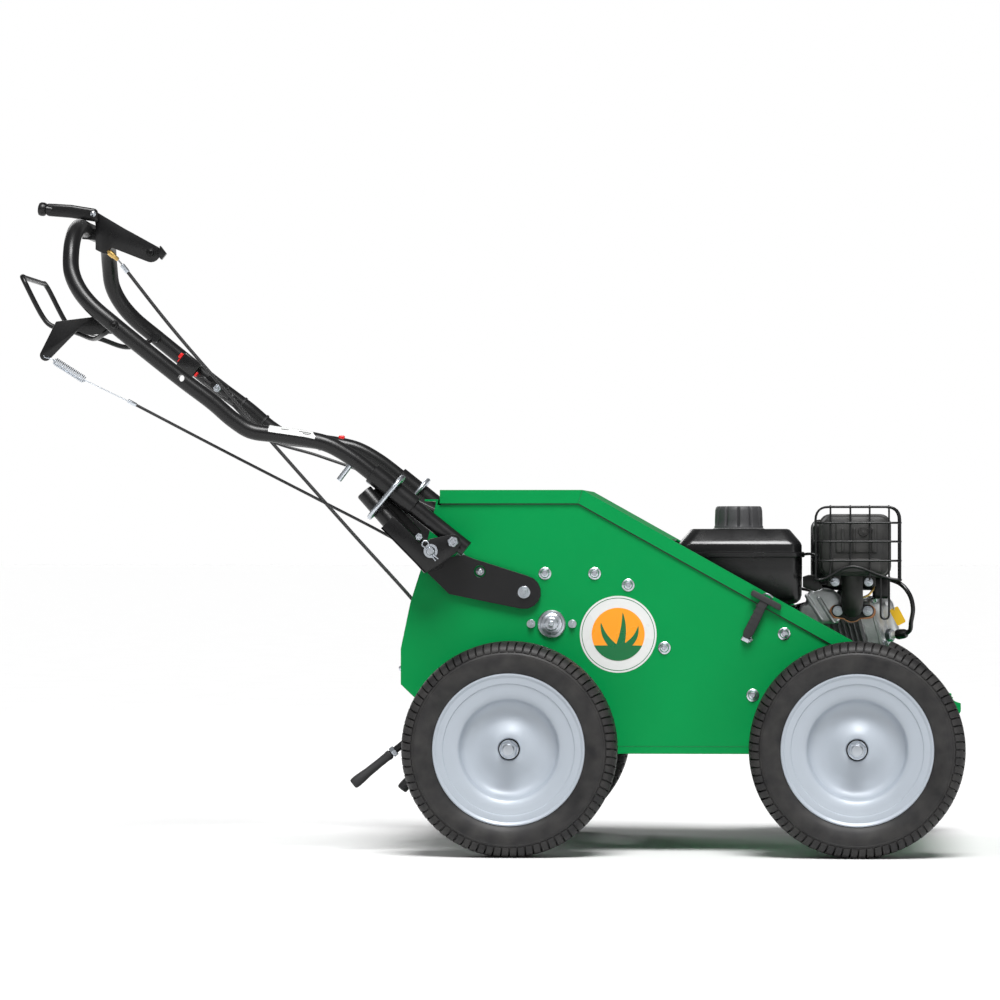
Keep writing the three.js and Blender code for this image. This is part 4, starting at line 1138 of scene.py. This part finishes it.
def add_tank():
    """The fuel tank with its seam, and the ribbed cap."""
    bm = bmesh.new()
    x0, x1, y0, y1 = 298, 493, -115, 97
    levels = [(384, 14, 14), (386, 8, 16), (391, 3, 18), (398, 0.6, 20), (440, 0, 20), (457, 0, 20),
              (457.6, -3, 22), (458.6, -4, 23), (464, -4, 23), (465, -3, 22), (465.6, 0.5, 20),
              (476, 0.5, 20), (480, 2, 20), (484, 5, 20), (498.5, 17.5, 18), (501, 20, 17), (502, 24, 16)]
    loft(bm, [[(x, y, z) for x, y in ring_of(x0 + inset, x1 - inset, y0 + inset, y1 - inset, r, 6)]
              for z, inset, r in levels])
    lathe(bm, [(0, 495), (41, 495), (41, 502.2), (39.5, 503), (0, 503)], (*FILLER, 0), (0, 0, 1), 56)
    stand_in("fuel_tank", bm, "black_plastic", sharp=28)
    cap = bmesh.new()
    rings = []
    for z, scale, depth in ((503.2, 1.0, 0), (506, 1.0, 0), (507, 0.985, 1), (516, 0.985, 1), (531, 0.97, 1),
                            (536, 0.94, 0.8), (538, 0.88, 0.2), (538, 0.70, 0), (536.5, 0.68, 0),
                            (536.5, 0.2, 0)):
        ring = []
        for k in range(240):
            a = 2 * math.pi * k / 240
            share = (k % 20) / 20 - 0.5
            groove = 3.4 * depth * math.exp(-((abs(share) - 0.5) / 0.085) ** 2) + 0.8 * depth * share ** 2
            r = 38.8 * scale - groove
            ring.append((FILLER[0] + r * math.cos(a), FILLER[1] + r * math.sin(a), z))
        rings.append(ring)
    loft(cap, rings)
    stand_in("fuel_cap", cap, "grey_plastic", sharp=40)


def flange_outline(left, right, ear, z, bulge_z):
    """The outline of a flange with an ear on either side and a bulge below the pipe."""
    bulge = arc((EXHAUST_X, bulge_z), 17.5, 225, 315, 8)
    return arc((left, z), ear, 100, 260, 8) + bulge + arc((right, z), ear, -80, 80, 8)


def add_exhaust():
    """The muffler, its elbow and flange, gasket, bolts, bracket and the governor's rod."""
    bm = bmesh.new()
    x0, x1, y0, y1, z0, z1 = 522, 630, -150, -52, 428, 523
    levels = ((y0, 15, 12), (y0 + 2, 8, 14), (y0 + 6, 2.5, 15), (y0 + 14, 0.4, 16), (y0 + 44, 0, 16),
              (y0 + 46, -2.4, 17), (y0 + 50, -2.4, 17), (y0 + 52, 0, 16), (y1 - 14, 0.4, 16),
              (y1 - 6, 2.5, 15), (y1 - 2, 8, 14), (y1, 15, 12))
    loft(bm, [[(x, y, z) for x, z in ring_of(x0 + i, x1 - i, z0 + i, z1 - i, r, 5)] for y, i, r in levels])
    rounded(bm, block(bm, (545, 610), (y0 - 2.8, y0 + 3), (464, 512)), 2.6)
    rounded(bm, block(bm, (540, 616), (y0 - 2.4, y0 + 3), (434, 456)), 2.2)
    for x in (556, 574, 603):
        rounded(bm, block(bm, (x - 2.4, x + 2.4), (y0 - 5, y0 - 1), (466, 504)), 1.8)
    lathe(bm, [(0, 0), (8, 0), (7, 4), (0, 4.6)], (588, y0 - 2, 498), (0, -1, 0), 28)
    bolt_head(bm, (588, y0 - 5.5, 498), (0, -1, 0), 9, 3)
    elbow = ((-73, 379), (-84, 379.5), (-97, 384.5), (-103, 396), (-103, 412), (-103, 435))
    sweep(bm, catmull([(EXHAUST_X, y, z) for y, z in elbow]), 16.8, 32)
    edge = flange_outline(549, 596, 10, 373, 374)
    rounded(bm, side_plate(bm, edge, -79, -71.4), 1.6)
    for x, lean in ((544.3, -3), (596.7, 3)):
        tab = [(x - 9 + lean, 412), (x + 9 + lean, 412), (x + 10, 432), (x - 10, 432)]
        rounded(bm, side_plate(bm, tab, -124, -121), 1.2)
    stand_in("muffler", bm, "heat_black", sharp=32)
    gasket = bmesh.new()
    edge = flange_outline(547, 598, 11, 371.5, 372)
    side_plate(gasket, edge, -71.2, -69.6)
    add_piece("exhaust_gasket", gasket, "copper", "chassis")
    bolts = bmesh.new()
    for x in (549, 596.2):
        bolt_head(bolts, (x, -79, 373), (0, -1, 0), 11.5, 8, washer=8)
    for x in (544.3, 596.7):
        bolt_head(bolts, (x, -124, 419), (0, -1, 0), 11, 6, washer=7)
    add_piece("exhaust_bolts", bolts, "zinc", "chassis", sharp=30)
    bracket = bmesh.new()
    edge = [(494, 411), (494, 427), (503, 430), (517, 430), (519, 420), (527, 409), (513, 404)]
    rounded(bracket, side_plate(bracket, edge, -104, -101), 1)
    sweep(bracket, catmull([(494, -112, 462), (504, -124, 463), (515, -150, 461)]), 2.2, 12)
    rounded(bracket, block(bracket, (604, 631), (-78, -40), (392, 427)), 5)
    add_piece("guard_bracket", bracket, "black_paint", "chassis", sharp=30)
    governor = bmesh.new()
    sweep(governor, catmull([(588, -96, 394), (597, -96, 398), (604, -92, 407), (606, -86, 412)]), 1.8, 12)
    add_piece("governor_rod", governor, "brass", "chassis", sharp=30)


def add_guard():
    """A cage of round wire round the muffler."""
    x0, x1, y0, y1, top = 514, 645.5, -161, -45, 536.5
    low = 422.4
    bm = bmesh.new()
    wires = [[(x0, y0, low), (x0, y0, top), (x1, y0, top), (x1, y0, low)],
             [(x0, y1, low), (x0, y1, top), (x1, y1, top), (x1, y1, low)]]
    for z in (511.5, 482.4, 452.4):
        wires.append([(x0, y1, z), (x0 - 1.5, y0 - 2.6, z), (x1 + 1.5, y0 - 2.6, z), (x1, y1, z)])
    for line in wires:
        sweep(bm, filleted(line, 21), 1.7, 12)
    rise = ((0, 0), (14, 1), (28, 9), (43, 18), (57, 21.5), (71, 19), (86, 13), (101, 7),
            (118, 1.5), (133, 0))
    arch = [(x0, y1, low)] + [(x0 - 1 + x, y0 - 2.6, low + z) for x, z in rise] + [(x1, y1, low)]
    sweep(bm, filleted(arch, 6), 2.3, 12)
    for x in (537, 568, 598, 628):
        bottom = 441 if x == 568 else low
        sweep(bm, filleted([(x, y0, bottom), (x, y0, top - 1), (x, y0 + 16, top + 1.5),
                            (x, y1, top - 1)], 9), 1.5, 10)
    sweep(bm, filleted([(615, y0, low + 6), (615, y0, 362), (628, y0, 362), (628, y0, low + 6)],
                       6.4), 1.7, 12)
    sweep(bm, filleted([(541, -124, 420), (536, -150, 421), (536, y0, 423), (536, y0, 440)], 8), 1.7, 10)
    stand_in("muffler_guard", bm, "black_paint", sharp=50)


def add_air_cleaner():
    """The air cleaner and a plain carburettor below it."""
    bm = bmesh.new()
    x0, x1, y0, y1, z0, z1 = 508, 620, -18, 92, 405, 516
    levels = ((y0, 8, 10), (y0 + 4, 2, 13), (y0 + 12, 0, 14), (50, 0, 14), (51, -1, 14), (56, -1, 14),
              (57, 0, 14), (y1 - 12, 1, 14), (y1 - 3, 5, 14), (y1, 12, 12))
    loft(bm, [[(x, y, z) for x, z in ring_of(x0 + i, x1 - i, z0 + i, z1 - i, r, 5)] for y, i, r in levels])
    for z in (432, 448, 464, 480):
        rounded(bm, block(bm, (530, 598), (y1 - 2, y1 + 2), (z - 2, z + 2)), 1.4)
    stand_in("air_cleaner", bm, "black_plastic", sharp=32)
    bm = bmesh.new()
    rounded(bm, block(bm, (549, 580), (58, 90), (362, 404)), 4)
    lathe(bm, [(0, 336), (12, 336), (15, 339), (15, 362), (0, 362)], (564, 74, 0), (0, 0, 1), 32)
    lathe(bm, rod(9, -20, 20), (555, 74, 380), (1, 0, 0), 24)
    add_piece("carburettor", bm, "cast_aluminium", "chassis", sharp=30)


# ---- Handle ----
HANDLE_LEG = [(-24.5, 277, 471), (-105, 277, 535), (-170, 277, 588), (-206, 276, 615), (-239, 275.5, 633),
              (-271, 275, 641), (-320, 274, 648), (-359, 273, 654), (-385, 273, 670), (-418, 272, 698),
              (-466, 271, 734), (-570, 270, 817), (-609, 262, 850), (-630, 253, 876), (-642, 242, 903),
              (-644.5, 228, 935), (-643.5, 204, 961), (-641.5, 168, 975), (-641, 130, 977.5),
              (-641, 90, 976.5)]
LEG_TURN = math.radians(-141.4)
LOCK_PIN = (-78, 468)
POST_INNER_Y = 256.3
POST_OUTER_Y = 297
SWITCH = (-514, 772)
THROTTLE = (-470, 738)
THROTTLE_BOLT = (-466, 733)
LEVER_PIVOT = (-537.5, 939.6)
BAIL_PIVOT = (-570, 817)


def along_of(start, end):
    """The direction and the length of the way between two points."""
    way = Vector(end) - Vector(start)
    return way.normalized(), way.length


def add_lock_posts():
    """The posts that hold the handle up, with their cheeks, pins and hairpins."""
    for name, side in SIDES:
        y = side * HANDLE_Y
        bm = bmesh.new()
        low, high = Vector((-79, y, 442)), Vector((-183, y, 560))
        along, length = along_of(low, high)
        tube = [(0, 0), (13, 0), (13.5, 0.8), (13.5, length - 2.5), (12.6, length - 0.8), (11, length),
                (9.5, length), (9.2, length - 14), (0, length - 14)]
        lathe(bm, tube, low, along, 40, closed=False)
        edge = [(-155, 503), (-87, 434), (-66, 447), (-34, 470)] + arc(FOLD, 12, -50, 90, 8)
        edge += [(-78, 487), (-92, 478), (-136, 522)]
        for inner, outer in ((POST_INNER_Y, 260), (293.3, POST_OUTER_Y)):
            cheek = side_plate(bm, edge, *outward(side, inner, outer))
            rounded(bm, cheek, 0.8, 2)
        web = side_plate(bm, [(-155, 503), (-87, 434), (-85, 436.5), (-153, 505.5)],
                         *outward(side, POST_INNER_Y, POST_OUTER_Y))
        rounded(bm, web, 0.8, 2)
        stand_in(f"lock_post_{name}", bm, "black_paint", sharp=30)
        gusset = bmesh.new()
        edge = [(-172, 561), (-164, 566), (-124, 530), (-96, 500), (-92, 480), (-112, 484)]
        rounded(gusset, side_plate(gusset, edge, *outward(side, 262, 266)), 0.8, 2)
        add_piece(f"lock_post_{name}_gusset", gusset, "black_paint", "chassis", sharp=30)
        pins = bmesh.new()
        lathe(pins, [(0, 250), (6.2, 250), (6.2, 304), (5, 305.4), (0, 305.4)], at_y(LOCK_PIN, 0),
              (0, side, 0), 28)
        lathe(pins, [(7, 297.1), (10.8, 297.1), (10.8, 298.6), (7, 298.6)], at_y(LOCK_PIN, 0),
              (0, side, 0), 36)
        eye = [math.pi * (k / 6 - 0.1) for k in range(10)]
        hairpin = [(-66, 456), (-72, 461), (-78, 470)]
        hairpin += [(-86 + 5 * math.cos(a), 479 + 5 * math.sin(a)) for a in eye]
        hairpin += [(-84, 471), (-76, 461), (-70, 453)]
        sweep(pins, catmull([(x, side * 302, z) for x, z in hairpin]), 1.1, 8)
        bolt_head(pins, at_y(FOLD, side * POST_OUTER_Y), (0, side, 0), 15, 7)
        bolt_head(pins, at_y(FOLD, side * POST_INNER_Y), (0, -side, 0), 16, 6)
        lathe(pins, rod(4.4, POST_INNER_Y, POST_OUTER_Y), at_y(FOLD, 0), (0, side, 0), 20)
        bolt_head(pins, (-96, side * POST_OUTER_Y, 490), (0, side, 0), 10, 4)
        add_piece(f"lock_post_{name}_hardware", pins, "zinc", "chassis", sharp=30)


def drilled(bm, centre, reach, radius):
    """Cuts a round hole along Y through a solid in millimetres and gives the new solid."""
    cutter = bmesh.new()
    lathe(cutter, rod(radius, -reach, reach), centre, (0, 1, 0), 24)
    pair = []
    for name, solid in (("solid", bm), ("cutter", cutter)):
        bmesh.ops.recalc_face_normals(solid, faces=solid.faces)
        mesh = bpy.data.meshes.new(name)
        solid.to_mesh(mesh)
        solid.free()
        pair.append(bpy.data.objects.new(name, mesh))
        bpy.context.scene.collection.objects.link(pair[-1])
    cut = pair[0].modifiers.new("hole", "BOOLEAN")
    cut.operation = "DIFFERENCE"
    cut.solver = "EXACT"
    cut.use_self = True
    cut.object = pair[1]
    shape = pair[0].evaluated_get(bpy.context.evaluated_depsgraph_get())
    result = bmesh.new()
    result.from_mesh(shape.to_mesh())
    shape.to_mesh_clear()
    for item in pair:
        bpy.data.objects.remove(item)
    return result


def add_handlebar():
    """The bent tube with its lock sleeves, stop pins and the drive lever's bracket."""
    bm = bmesh.new()
    points = mirrored(HANDLE_LEG) + HANDLE_LEG[::-1]
    sweep(bm, catmull(points, step=6), TUBE_RADIUS, 32)
    for y in (-HANDLE_Y, HANDLE_Y):
        sleeve = [Vector((-105, y, 536.5)), Vector((-170, y, 588.5))]
        along, length = along_of(*sleeve)
        lathe(bm, [(12.5, 0), (15.6, 0), (16.2, 0.8), (16.2, length - 0.8), (15.6, length), (12.5, length)],
              sleeve[0], along, 40)
    bracket = [(-648, 962), (-600, 958), (-530, 934), (-526, 938), (-532, 946), (-600, 975),
               (-640, 980), (-647, 974)]
    rounded(bm, side_plate(bm, bracket, -79.7, -76), 0.7, 2)
    bm = drilled(bm, (-466, 0, 735), 300, 5.2)
    stand_in("handlebar", bm, "black_paint", sharp=35)
    pins = bmesh.new()
    for y in (-HANDLE_Y, HANDLE_Y):
        start, end = Vector((-200, y, 606)), Vector((-222, y, 577))
        along, length = along_of(start, end)
        lathe(pins, [(0, 0), (4.2, 0), (4.2, length - 1), (3.4, length), (0, length)], start, along, 24)
    add_piece("handle_pins", pins, "zinc", "handle", sharp=30)


def wrapped_label(name, line, angles, radius, material, side):
    """A thin label wrapped part of the way round a tube, between two angles up from its outer side."""
    bm = bmesh.new()
    line = [Vector(p) for p in line]
    steps = 14
    shells = []
    for grow in (0.05, 0.35):
        rings = []
        for i, point in enumerate(line):
            along = (line[min(i + 1, len(line) - 1)] - line[max(i - 1, 0)]).normalized()
            out = Vector((0, side, 0))
            up = along.cross(out) * side
            turns = [math.radians(angles[0] + (angles[1] - angles[0]) * k / steps) for k in range(steps + 1)]
            rings.append([point + (out * math.cos(a) + up * math.sin(a)) * (radius + grow) for a in turns])
        shells.append(rings)
    loft(bm, [shells[1][i] + shells[0][i][::-1] for i in range(len(line))])
    add_piece(name, bm, material, "handle", sharp=50)


def leg_point(x, side):
    """The tube's centre at a distance along X."""
    for (xa, ya, za), (xb, yb, zb) in zip(HANDLE_LEG, HANDLE_LEG[1:]):
        if xb <= x <= xa:
            t = (x - xa) / (xb - xa)
            return (x, side * (ya + (yb - ya) * t), za + (zb - za) * t)
    raise ValueError(x)


def add_labels():
    """A label without words on the right leg, and a tag on the left one."""
    line = [leg_point(-259 - 8 * k, -1) for k in range(10)]
    wrapped_label("plain_label", line, (-84, -12), TUBE_RADIUS, "white_vinyl", -1)
    for k, (start, count) in enumerate(((-266, 4), (-266, 3), (-300, 3))):
        line = [leg_point(start - 6 * step, -1) for step in range(count)]
        wrapped_label(f"label_bar_{k + 1}", line, (-50 + 14 * (k % 2), -44 + 14 * (k % 2)), TUBE_RADIUS
                      + 0.35, "latch_rubber", -1)
    line = [leg_point(-262 - 4 * k, 1) for k in range(5)]
    wrapped_label("left_tube_tag", line, (60, 130), TUBE_RADIUS, "red_plastic", 1)


def add_lock_rings():
    """The loops that slide down over the posts and the handle's legs."""
    for name, side in SIDES:
        bm = bmesh.new()
        line = [(-148 + 0.64 * u, side * HANDLE_Y + v, 551 + 0.768 * u) for u, v in stadium(40, 21.5, 14)]
        sweep(bm, evenly(line, 4), 3.9, 16, closed=True)
        stand_in(f"lock_ring_{name}", bm, "zinc", sharp=50)


def add_drive_lever():
    """The lever on top of the handle, its clevis and the end of the drive cable's wire."""
    bm = bmesh.new()
    plate = [(-629.5, 1008), (-579, 978), (-566, 971), (-528, 950)] + arc(LEVER_PIVOT, 15, 40, -110, 8)
    plate += [(-600, 948), (-605.6, 938), (-613, 938.5), (-626, 945), (-626, 984)]
    rounded(bm, side_plate(bm, plate, -84, -80), 0.9, 2)
    grip = side_plate(bm, [(-704, 1018.5), (-664, 1016), (-622, 1009), (-620, 988), (-664, 995),
                           (-704, 998.5)], -96, -82)
    rounded(bm, grip, 5, 4)
    axis = Vector((-0.994, 0, 0.115))
    knob = [(0, -12), (7, -12), (7.5, -3), (10, -1.5), (11, 1.5), (11, 6), (9.5, 9), (6, 10.4), (0, 10.8)]
    lathe(bm, knob, (-706, -90, 1008.7), axis, 36)
    rounded(bm, side_plate(bm, [(-522, 951), (-512, 938), (-520, 928), (-527, 936)], -92, -80), 0.9, 2)
    stand_in("drive_lever", bm, "black_paint", sharp=32)
    pins = bmesh.new()
    button_bolt(pins, (-628, -95.8, 1001), (0, -1, 0), 4.6)
    add_piece("drive_lever_bolt", pins, "zinc", "drive_lever", sharp=30)
    pivot = bmesh.new()
    button_bolt(pivot, at_y(LEVER_PIVOT, -84), (0, -1, 0), 7.5)
    add_piece("drive_lever_pivot", pivot, "black_paint", "drive_lever", sharp=30)
    clevis = bmesh.new()
    along = Vector((0.763, 0, -0.646))
    lathe(clevis, [(0, 0), (4.6, 0), (4.6, 9), (3.4, 11), (3.4, 17), (2.6, 19), (0, 19)],
          (-603.8, -86, 940.8), along, 20)
    sweep(clevis, [(-603.8, -92, 940.8), (-603.8, -81, 940.8)], 2.4, 14)
    add_piece("drive_clevis", clevis, "brass", "drive_lever", sharp=30)
    wire = bmesh.new()
    start, end = Vector((-590, -86, 929)), Vector((-574, -83, 910))
    sweep(wire, [start.lerp(end, k / 16) for k in range(17)], 1.3, 10)
    piece = add_piece("drive_inner_wire", wire, "steel", None)
    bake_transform(piece)


BAIL_HALF = [(-570, 252.5, 817), (-592, 235, 806), (-615, 190, 800), (-650, 150, 812), (-690, 137, 823),
             (-701, 134, 834), (-732.5, 131, 893), (-736.5, 124, 900), (-736.5, 95, 900)]


def add_bail():
    """The tine bail between the legs, its spring and the end of the tine cable's wire."""
    bm = bmesh.new()
    points = mirrored(BAIL_HALF) + BAIL_HALF[::-1]
    sweep(bm, catmull(points, step=5), 4, 18)
    plate = [(-667, 825), (-610, 832)] + arc(BAIL_PIVOT, 11, 80, -90, 8) + [(-617, 804), (-634, 810)]
    plate += arc((-683.4, 772.5), 9, -40, -200, 8)
    rounded(bm, side_plate(bm, plate, -238, -234), 0.8, 2)
    rounded(bm, side_plate(bm, [(-655, 815), (-634, 811), (-634, 822), (-655, 826)], -237, -146), 0.8, 2)
    stand_in("tine_bail", bm, "black_paint", sharp=32)
    pins = bmesh.new()
    for _, side in SIDES:
        button_bolt(pins, at_y(BAIL_PIVOT, side * 282.5), (0, side, 0), 7.5)
        lathe(pins, [(0, 236), (6.5, 236), (7.5, 237), (7.5, 258), (0, 258)], at_y(BAIL_PIVOT, 0),
              (0, side, 0), 28)
    add_piece("bail_pivot_bolts", pins, "black_paint", "handle", sharp=30)
    coil = bmesh.new()
    start, end = Vector((-669, -246, 764)), Vector((-620, -246, 733))
    along, length = along_of(start, end)
    side = Y_AXIS
    up = along.cross(side)
    count = 20 * 12
    line = []
    for k in range(count + 1):
        reach = 5.5 * min(1, 0.35 + 12 * min(k, count - k) / count)
        turn = k * math.pi / 6
        line.append(start + along * (length * k / count) + side * (reach * math.cos(turn))
                    + up * (reach * math.sin(turn)))
    sweep(coil, line, 1.05, 6)
    hook = [start + side * 2, start - along * 4, (-678, -243, 768), (-684, -240, 769), (-687, -236, 773),
            (-684, -233, 776)]
    sweep(coil, catmull(hook), 0.95, 8)
    stand_in("bail_spring", coil, "zinc", sharp=50)
    wire = bmesh.new()
    start, end = Vector((-620, -246, 733)), Vector((-548, -242, 698))
    sweep(wire, [start.lerp(end, k / 20) for k in range(21)], 0.9, 8)
    piece = add_piece("tine_inner_wire", wire, "zinc", None)
    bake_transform(piece)


def on_leg(x, z):
    """The place of a control on the tube, whose own X axis runs along the tube."""
    return Matrix.Translation((x, 0, z)) @ Matrix.Rotation(LEG_TURN, 4, "Y")


def leg_block(name, material, place, boxes, stands=False):
    """Adds a piece made of rounded boxes, each (x, y, z, radius) in the frame of its place on the tube."""
    bm = bmesh.new()
    for x, y, z, radius in boxes:
        rounded(bm, block(bm, x, y, z), radius)
    moved(bm, (), on_leg(*place))
    if stands:
        stand_in(name, bm, material)
    else:
        add_piece(name, bm, material, "handle")


def add_controls():
    """The stop switch and the throttle on the left leg, with their wire, cap and ties."""
    leg_block("switch_box", "black_plastic", SWITCH, [((-17, 17), (232, 257), (-13, 13), 2.6)], stands=True)
    leg_block("switch_end_cap", "red_plastic", SWITCH, [((-21, -16.6), (234, 246), (1, 9), 1.4)])
    leg_block("switch_button", "red_plastic", SWITCH,
              [((17.3, 19), (236, 253), (-8, 8), 0.6), ((17.3, 23), (236, 245), (-8, 1.5), 1.6)], stands=True)
    leg_block("throttle_housing", "black_plastic", THROTTLE,
              [((-19, 19), (238, 257.5), (-11, 9), 3)], stands=True)
    bm = bmesh.new()
    lathe(bm, rod(7, 226, 237.7), (0, 0, 0), (0, 1, 0), 28)
    rounded(bm, block(bm, (-36, 5), (227, 231), (-5, 5)), 1.4)
    rounded(bm, block(bm, (-44, -30), (225, 233), (-7, 7)), 2.6)
    moved(bm, (), on_leg(*THROTTLE))
    stand_in("throttle_lever", bm, "black_plastic", sharp=30)
    bm = bmesh.new()
    bolt_head(bm, at_y(THROTTLE_BOLT, 226), (0, -1, 0), 11.5, 4)
    add_piece("throttle_lever_bolt", bm, "zinc", "throttle_lever", sharp=30)
    bm = bmesh.new()
    line = [(-497, 236, 752), (-489, 232, 752), (-482, 230, 745), (-474, 232, 741), (-466, 238, 740)]
    sweep(bm, catmull(line), 1.6, 12)
    add_piece("switch_wire", bm, "cable_jacket", "handle")
    bm = bmesh.new()
    rounded(bm, block(bm, (-270, -260), (268, 280), (649, 656)), 2)
    add_piece("cable_end_cap", bm, "red_plastic", "handle")
    ties = bmesh.new()
    for x in (-300, -395, -430, -505):
        centre = leg_point(x, 1)
        along, _ = along_of(centre, leg_point(x + 2, 1))
        lathe(ties, [(12.7, -1.8), (14, -1.8), (14, 1.8), (12.7, 1.8)], centre, along, 32)
    add_piece("cable_ties", ties, "cable_jacket", "handle", sharp=30)


# ---- Foot pedals ----
PEDAL_PIVOT = (-11, 262)


def pedal_arm(bm, grip_bm, hardware_bm, tip, y, grip_length):
    """Adds a pedal's rod, its rubber grip and the nut between them."""
    start = Vector(at_y(PEDAL_PIVOT, y))
    end = Vector(at_y(tip, y))
    along, _ = along_of(start, end)
    grip_start = end - along * grip_length
    sweep(bm, [start, grip_start + along * 4], 5.5, 20)
    lathe(hardware_bm, [(5.5, -9), (8.6, -9), (8.6, -2), (5.5, -2)], grip_start, along, 6)
    n = grip_length
    grip = [(0, 0), (6.4, 0), (7.4, 1.2), (7.6, 5), (7, 8), (6.8, n * 0.3), (7.3, n * 0.6), (8.6, n * 0.8),
            (8.8, n * 0.9), (8.4, n * 0.97), (7, n), (0, n)]
    lathe(grip_bm, grip, grip_start, along, 32)


def add_pedals():
    """Two foot pedals on one cross shaft."""
    hub = 13
    for body, tip, y, grip_length in (("foot_pedal_right", (-206, 104), -200, 76),
                                      ("foot_pedal_center", (-145, 86), 0, 50)):
        arm, grip, hardware = bmesh.new(), bmesh.new(), bmesh.new()
        pedal_arm(arm, grip, hardware, tip, y, grip_length)
        ring = [(8.4, -hub), (13, -hub), (14, -hub + 1), (14, hub - 1), (13, hub), (8.4, hub)]
        lathe(arm, ring, at_y(PEDAL_PIVOT, y), (0, 1, 0), 36)
        if body == "foot_pedal_center":
            shaft = rod(8, -SHAFT_END_Y, SHAFT_END_Y)
            lathe(arm, shaft, at_y(PEDAL_PIVOT, 0), (0, 1, 0), 28)
        add_piece(body + "_arm", arm, "black_paint", body, [body], sharp=32)
        add_piece(body + "_grip", grip, "latch_rubber", body, sharp=32)
        add_piece(body + "_nut", hardware, "zinc", body, sharp=30)


# ---- Cables ----
TINE_CABLE = [(-553, -242, 701), (-400, -236, 621), (-260, -229, 549), (-156, -222, 495), (-96, -215, 460),
              (-55, -222, 425), (-10, -225, 330), (30, -225, 250), (110, -226, 205), (200, -227, 195),
              (300, -227, 200), (338, -226, 200)]
DRIVE_CABLE = [(-583, -83.5, 920), (-500, -80, 815), (-360, -74, 655), (-220, -66, 497), (-114, -62, 379),
               (-85, -30, 335), (-40, 60, 305), (0, 180, 286), (25, 220, 262), (110, 223, 222),
               (240, 224, 208), (400, 224, 215), (520, 223, 214)]
THROTTLE_CABLE = [(-452, 245, 716), (-420, 244, 683), (-380, 240, 648), (-300, 236, 622), (-200, 228, 585),
                  (-130, 215, 545), (-80, 205, 524), (-20, 200, 515), (120, 197, 515), (230, 178, 455),
                  (300, 130, 420), (400, 113, 408), (490, 108, 406), (536, 100, 394)]


def cable(node, points, radius, material):
    """A jacketed cable, from the housing below to the handle above."""
    bm = bmesh.new()
    sweep(bm, catmull(points, step=7), radius, 14)
    piece = add_piece(node + "_shape", bm, material, None, [node], slot="cable_jacket", sharp=50)
    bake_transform(piece)


def add_cables():
    """The three control cables, their ferrules on the handle and their grommets on the housing."""
    cable("tine_cable", TINE_CABLE, 2.3, "cable_jacket")
    cable("drive_cable", DRIVE_CABLE, 2.8, "braid")
    cable("throttle_cable", THROTTLE_CABLE, 2.5, "cable_jacket")
    ends = bmesh.new()
    for (tip, after, *_), radius in ((TINE_CABLE, 3.1), (DRIVE_CABLE, 3.8)):
        along, _ = along_of(tip, after)
        lathe(ends, [(0, -1), (radius - 0.6, -1), (radius, 0), (radius, 13), (radius - 0.5, 14), (0, 14)],
              tip, along, 20)
    add_piece("cable_ferrules", ends, "zinc", "handle", sharp=30)
    grommets = bmesh.new()
    for at, slope in (((-96, -215, 460), -0.6), ((-114, -62, 379), -1.18), ((-80, 205, 524), -0.42)):
        along = Vector((1, 0, slope)).normalized()
        lathe(grommets, [(2.9, -4.5), (8.6, -4.5), (9, -3.5), (9, -2), (6.8, -1), (6.8, 2), (2.9, 3)],
              at, along, 28)
    add_piece("cable_grommets", grommets, "latch_rubber", "chassis", sharp=30)


def paint_frame():
    """Gives the CAD pieces that still show the material of their own slot."""
    for name, node in frame["nodes"].items():
        node.data.materials.clear()
        node.data.materials.append(MATERIALS[NODE_SLOT[name]])


NODE_SLOT = {row["node"]: row["material_slot"] for row in frame["record"]["subparts"]}
NODE_BODY = {node: body for body, nodes in frame["record"]["behaviour"]["bodies"].items() for node in nodes}
MATERIALS = make_materials()

add_camera()
add_studio()
paint_frame()
add_housing()
add_housing_bolts()
add_decals()
add_latches()
add_wheels()
add_axles()
add_crank_bearings()
add_crankshaft()
add_tine_arms()
add_drive()
add_belt()
add_chain("tine_chain", CRANK, 78, JACK, 28, TINE_CHAIN_Y)
add_chain("drive_chain", (FRONT_AXLE_X, WHEEL_RADIUS), 48, JACK, 23, DRIVE_CHAIN_Y)
add_idler()
add_crankcase()
add_valve_cover()
add_spark_plug()
add_blower()
add_starter()
add_tank()
add_exhaust()
add_guard()
add_air_cleaner()
add_lock_posts()
add_handlebar()
add_labels()
add_lock_rings()
add_drive_lever()
add_bail()
add_controls()
add_pedals()
add_cables()
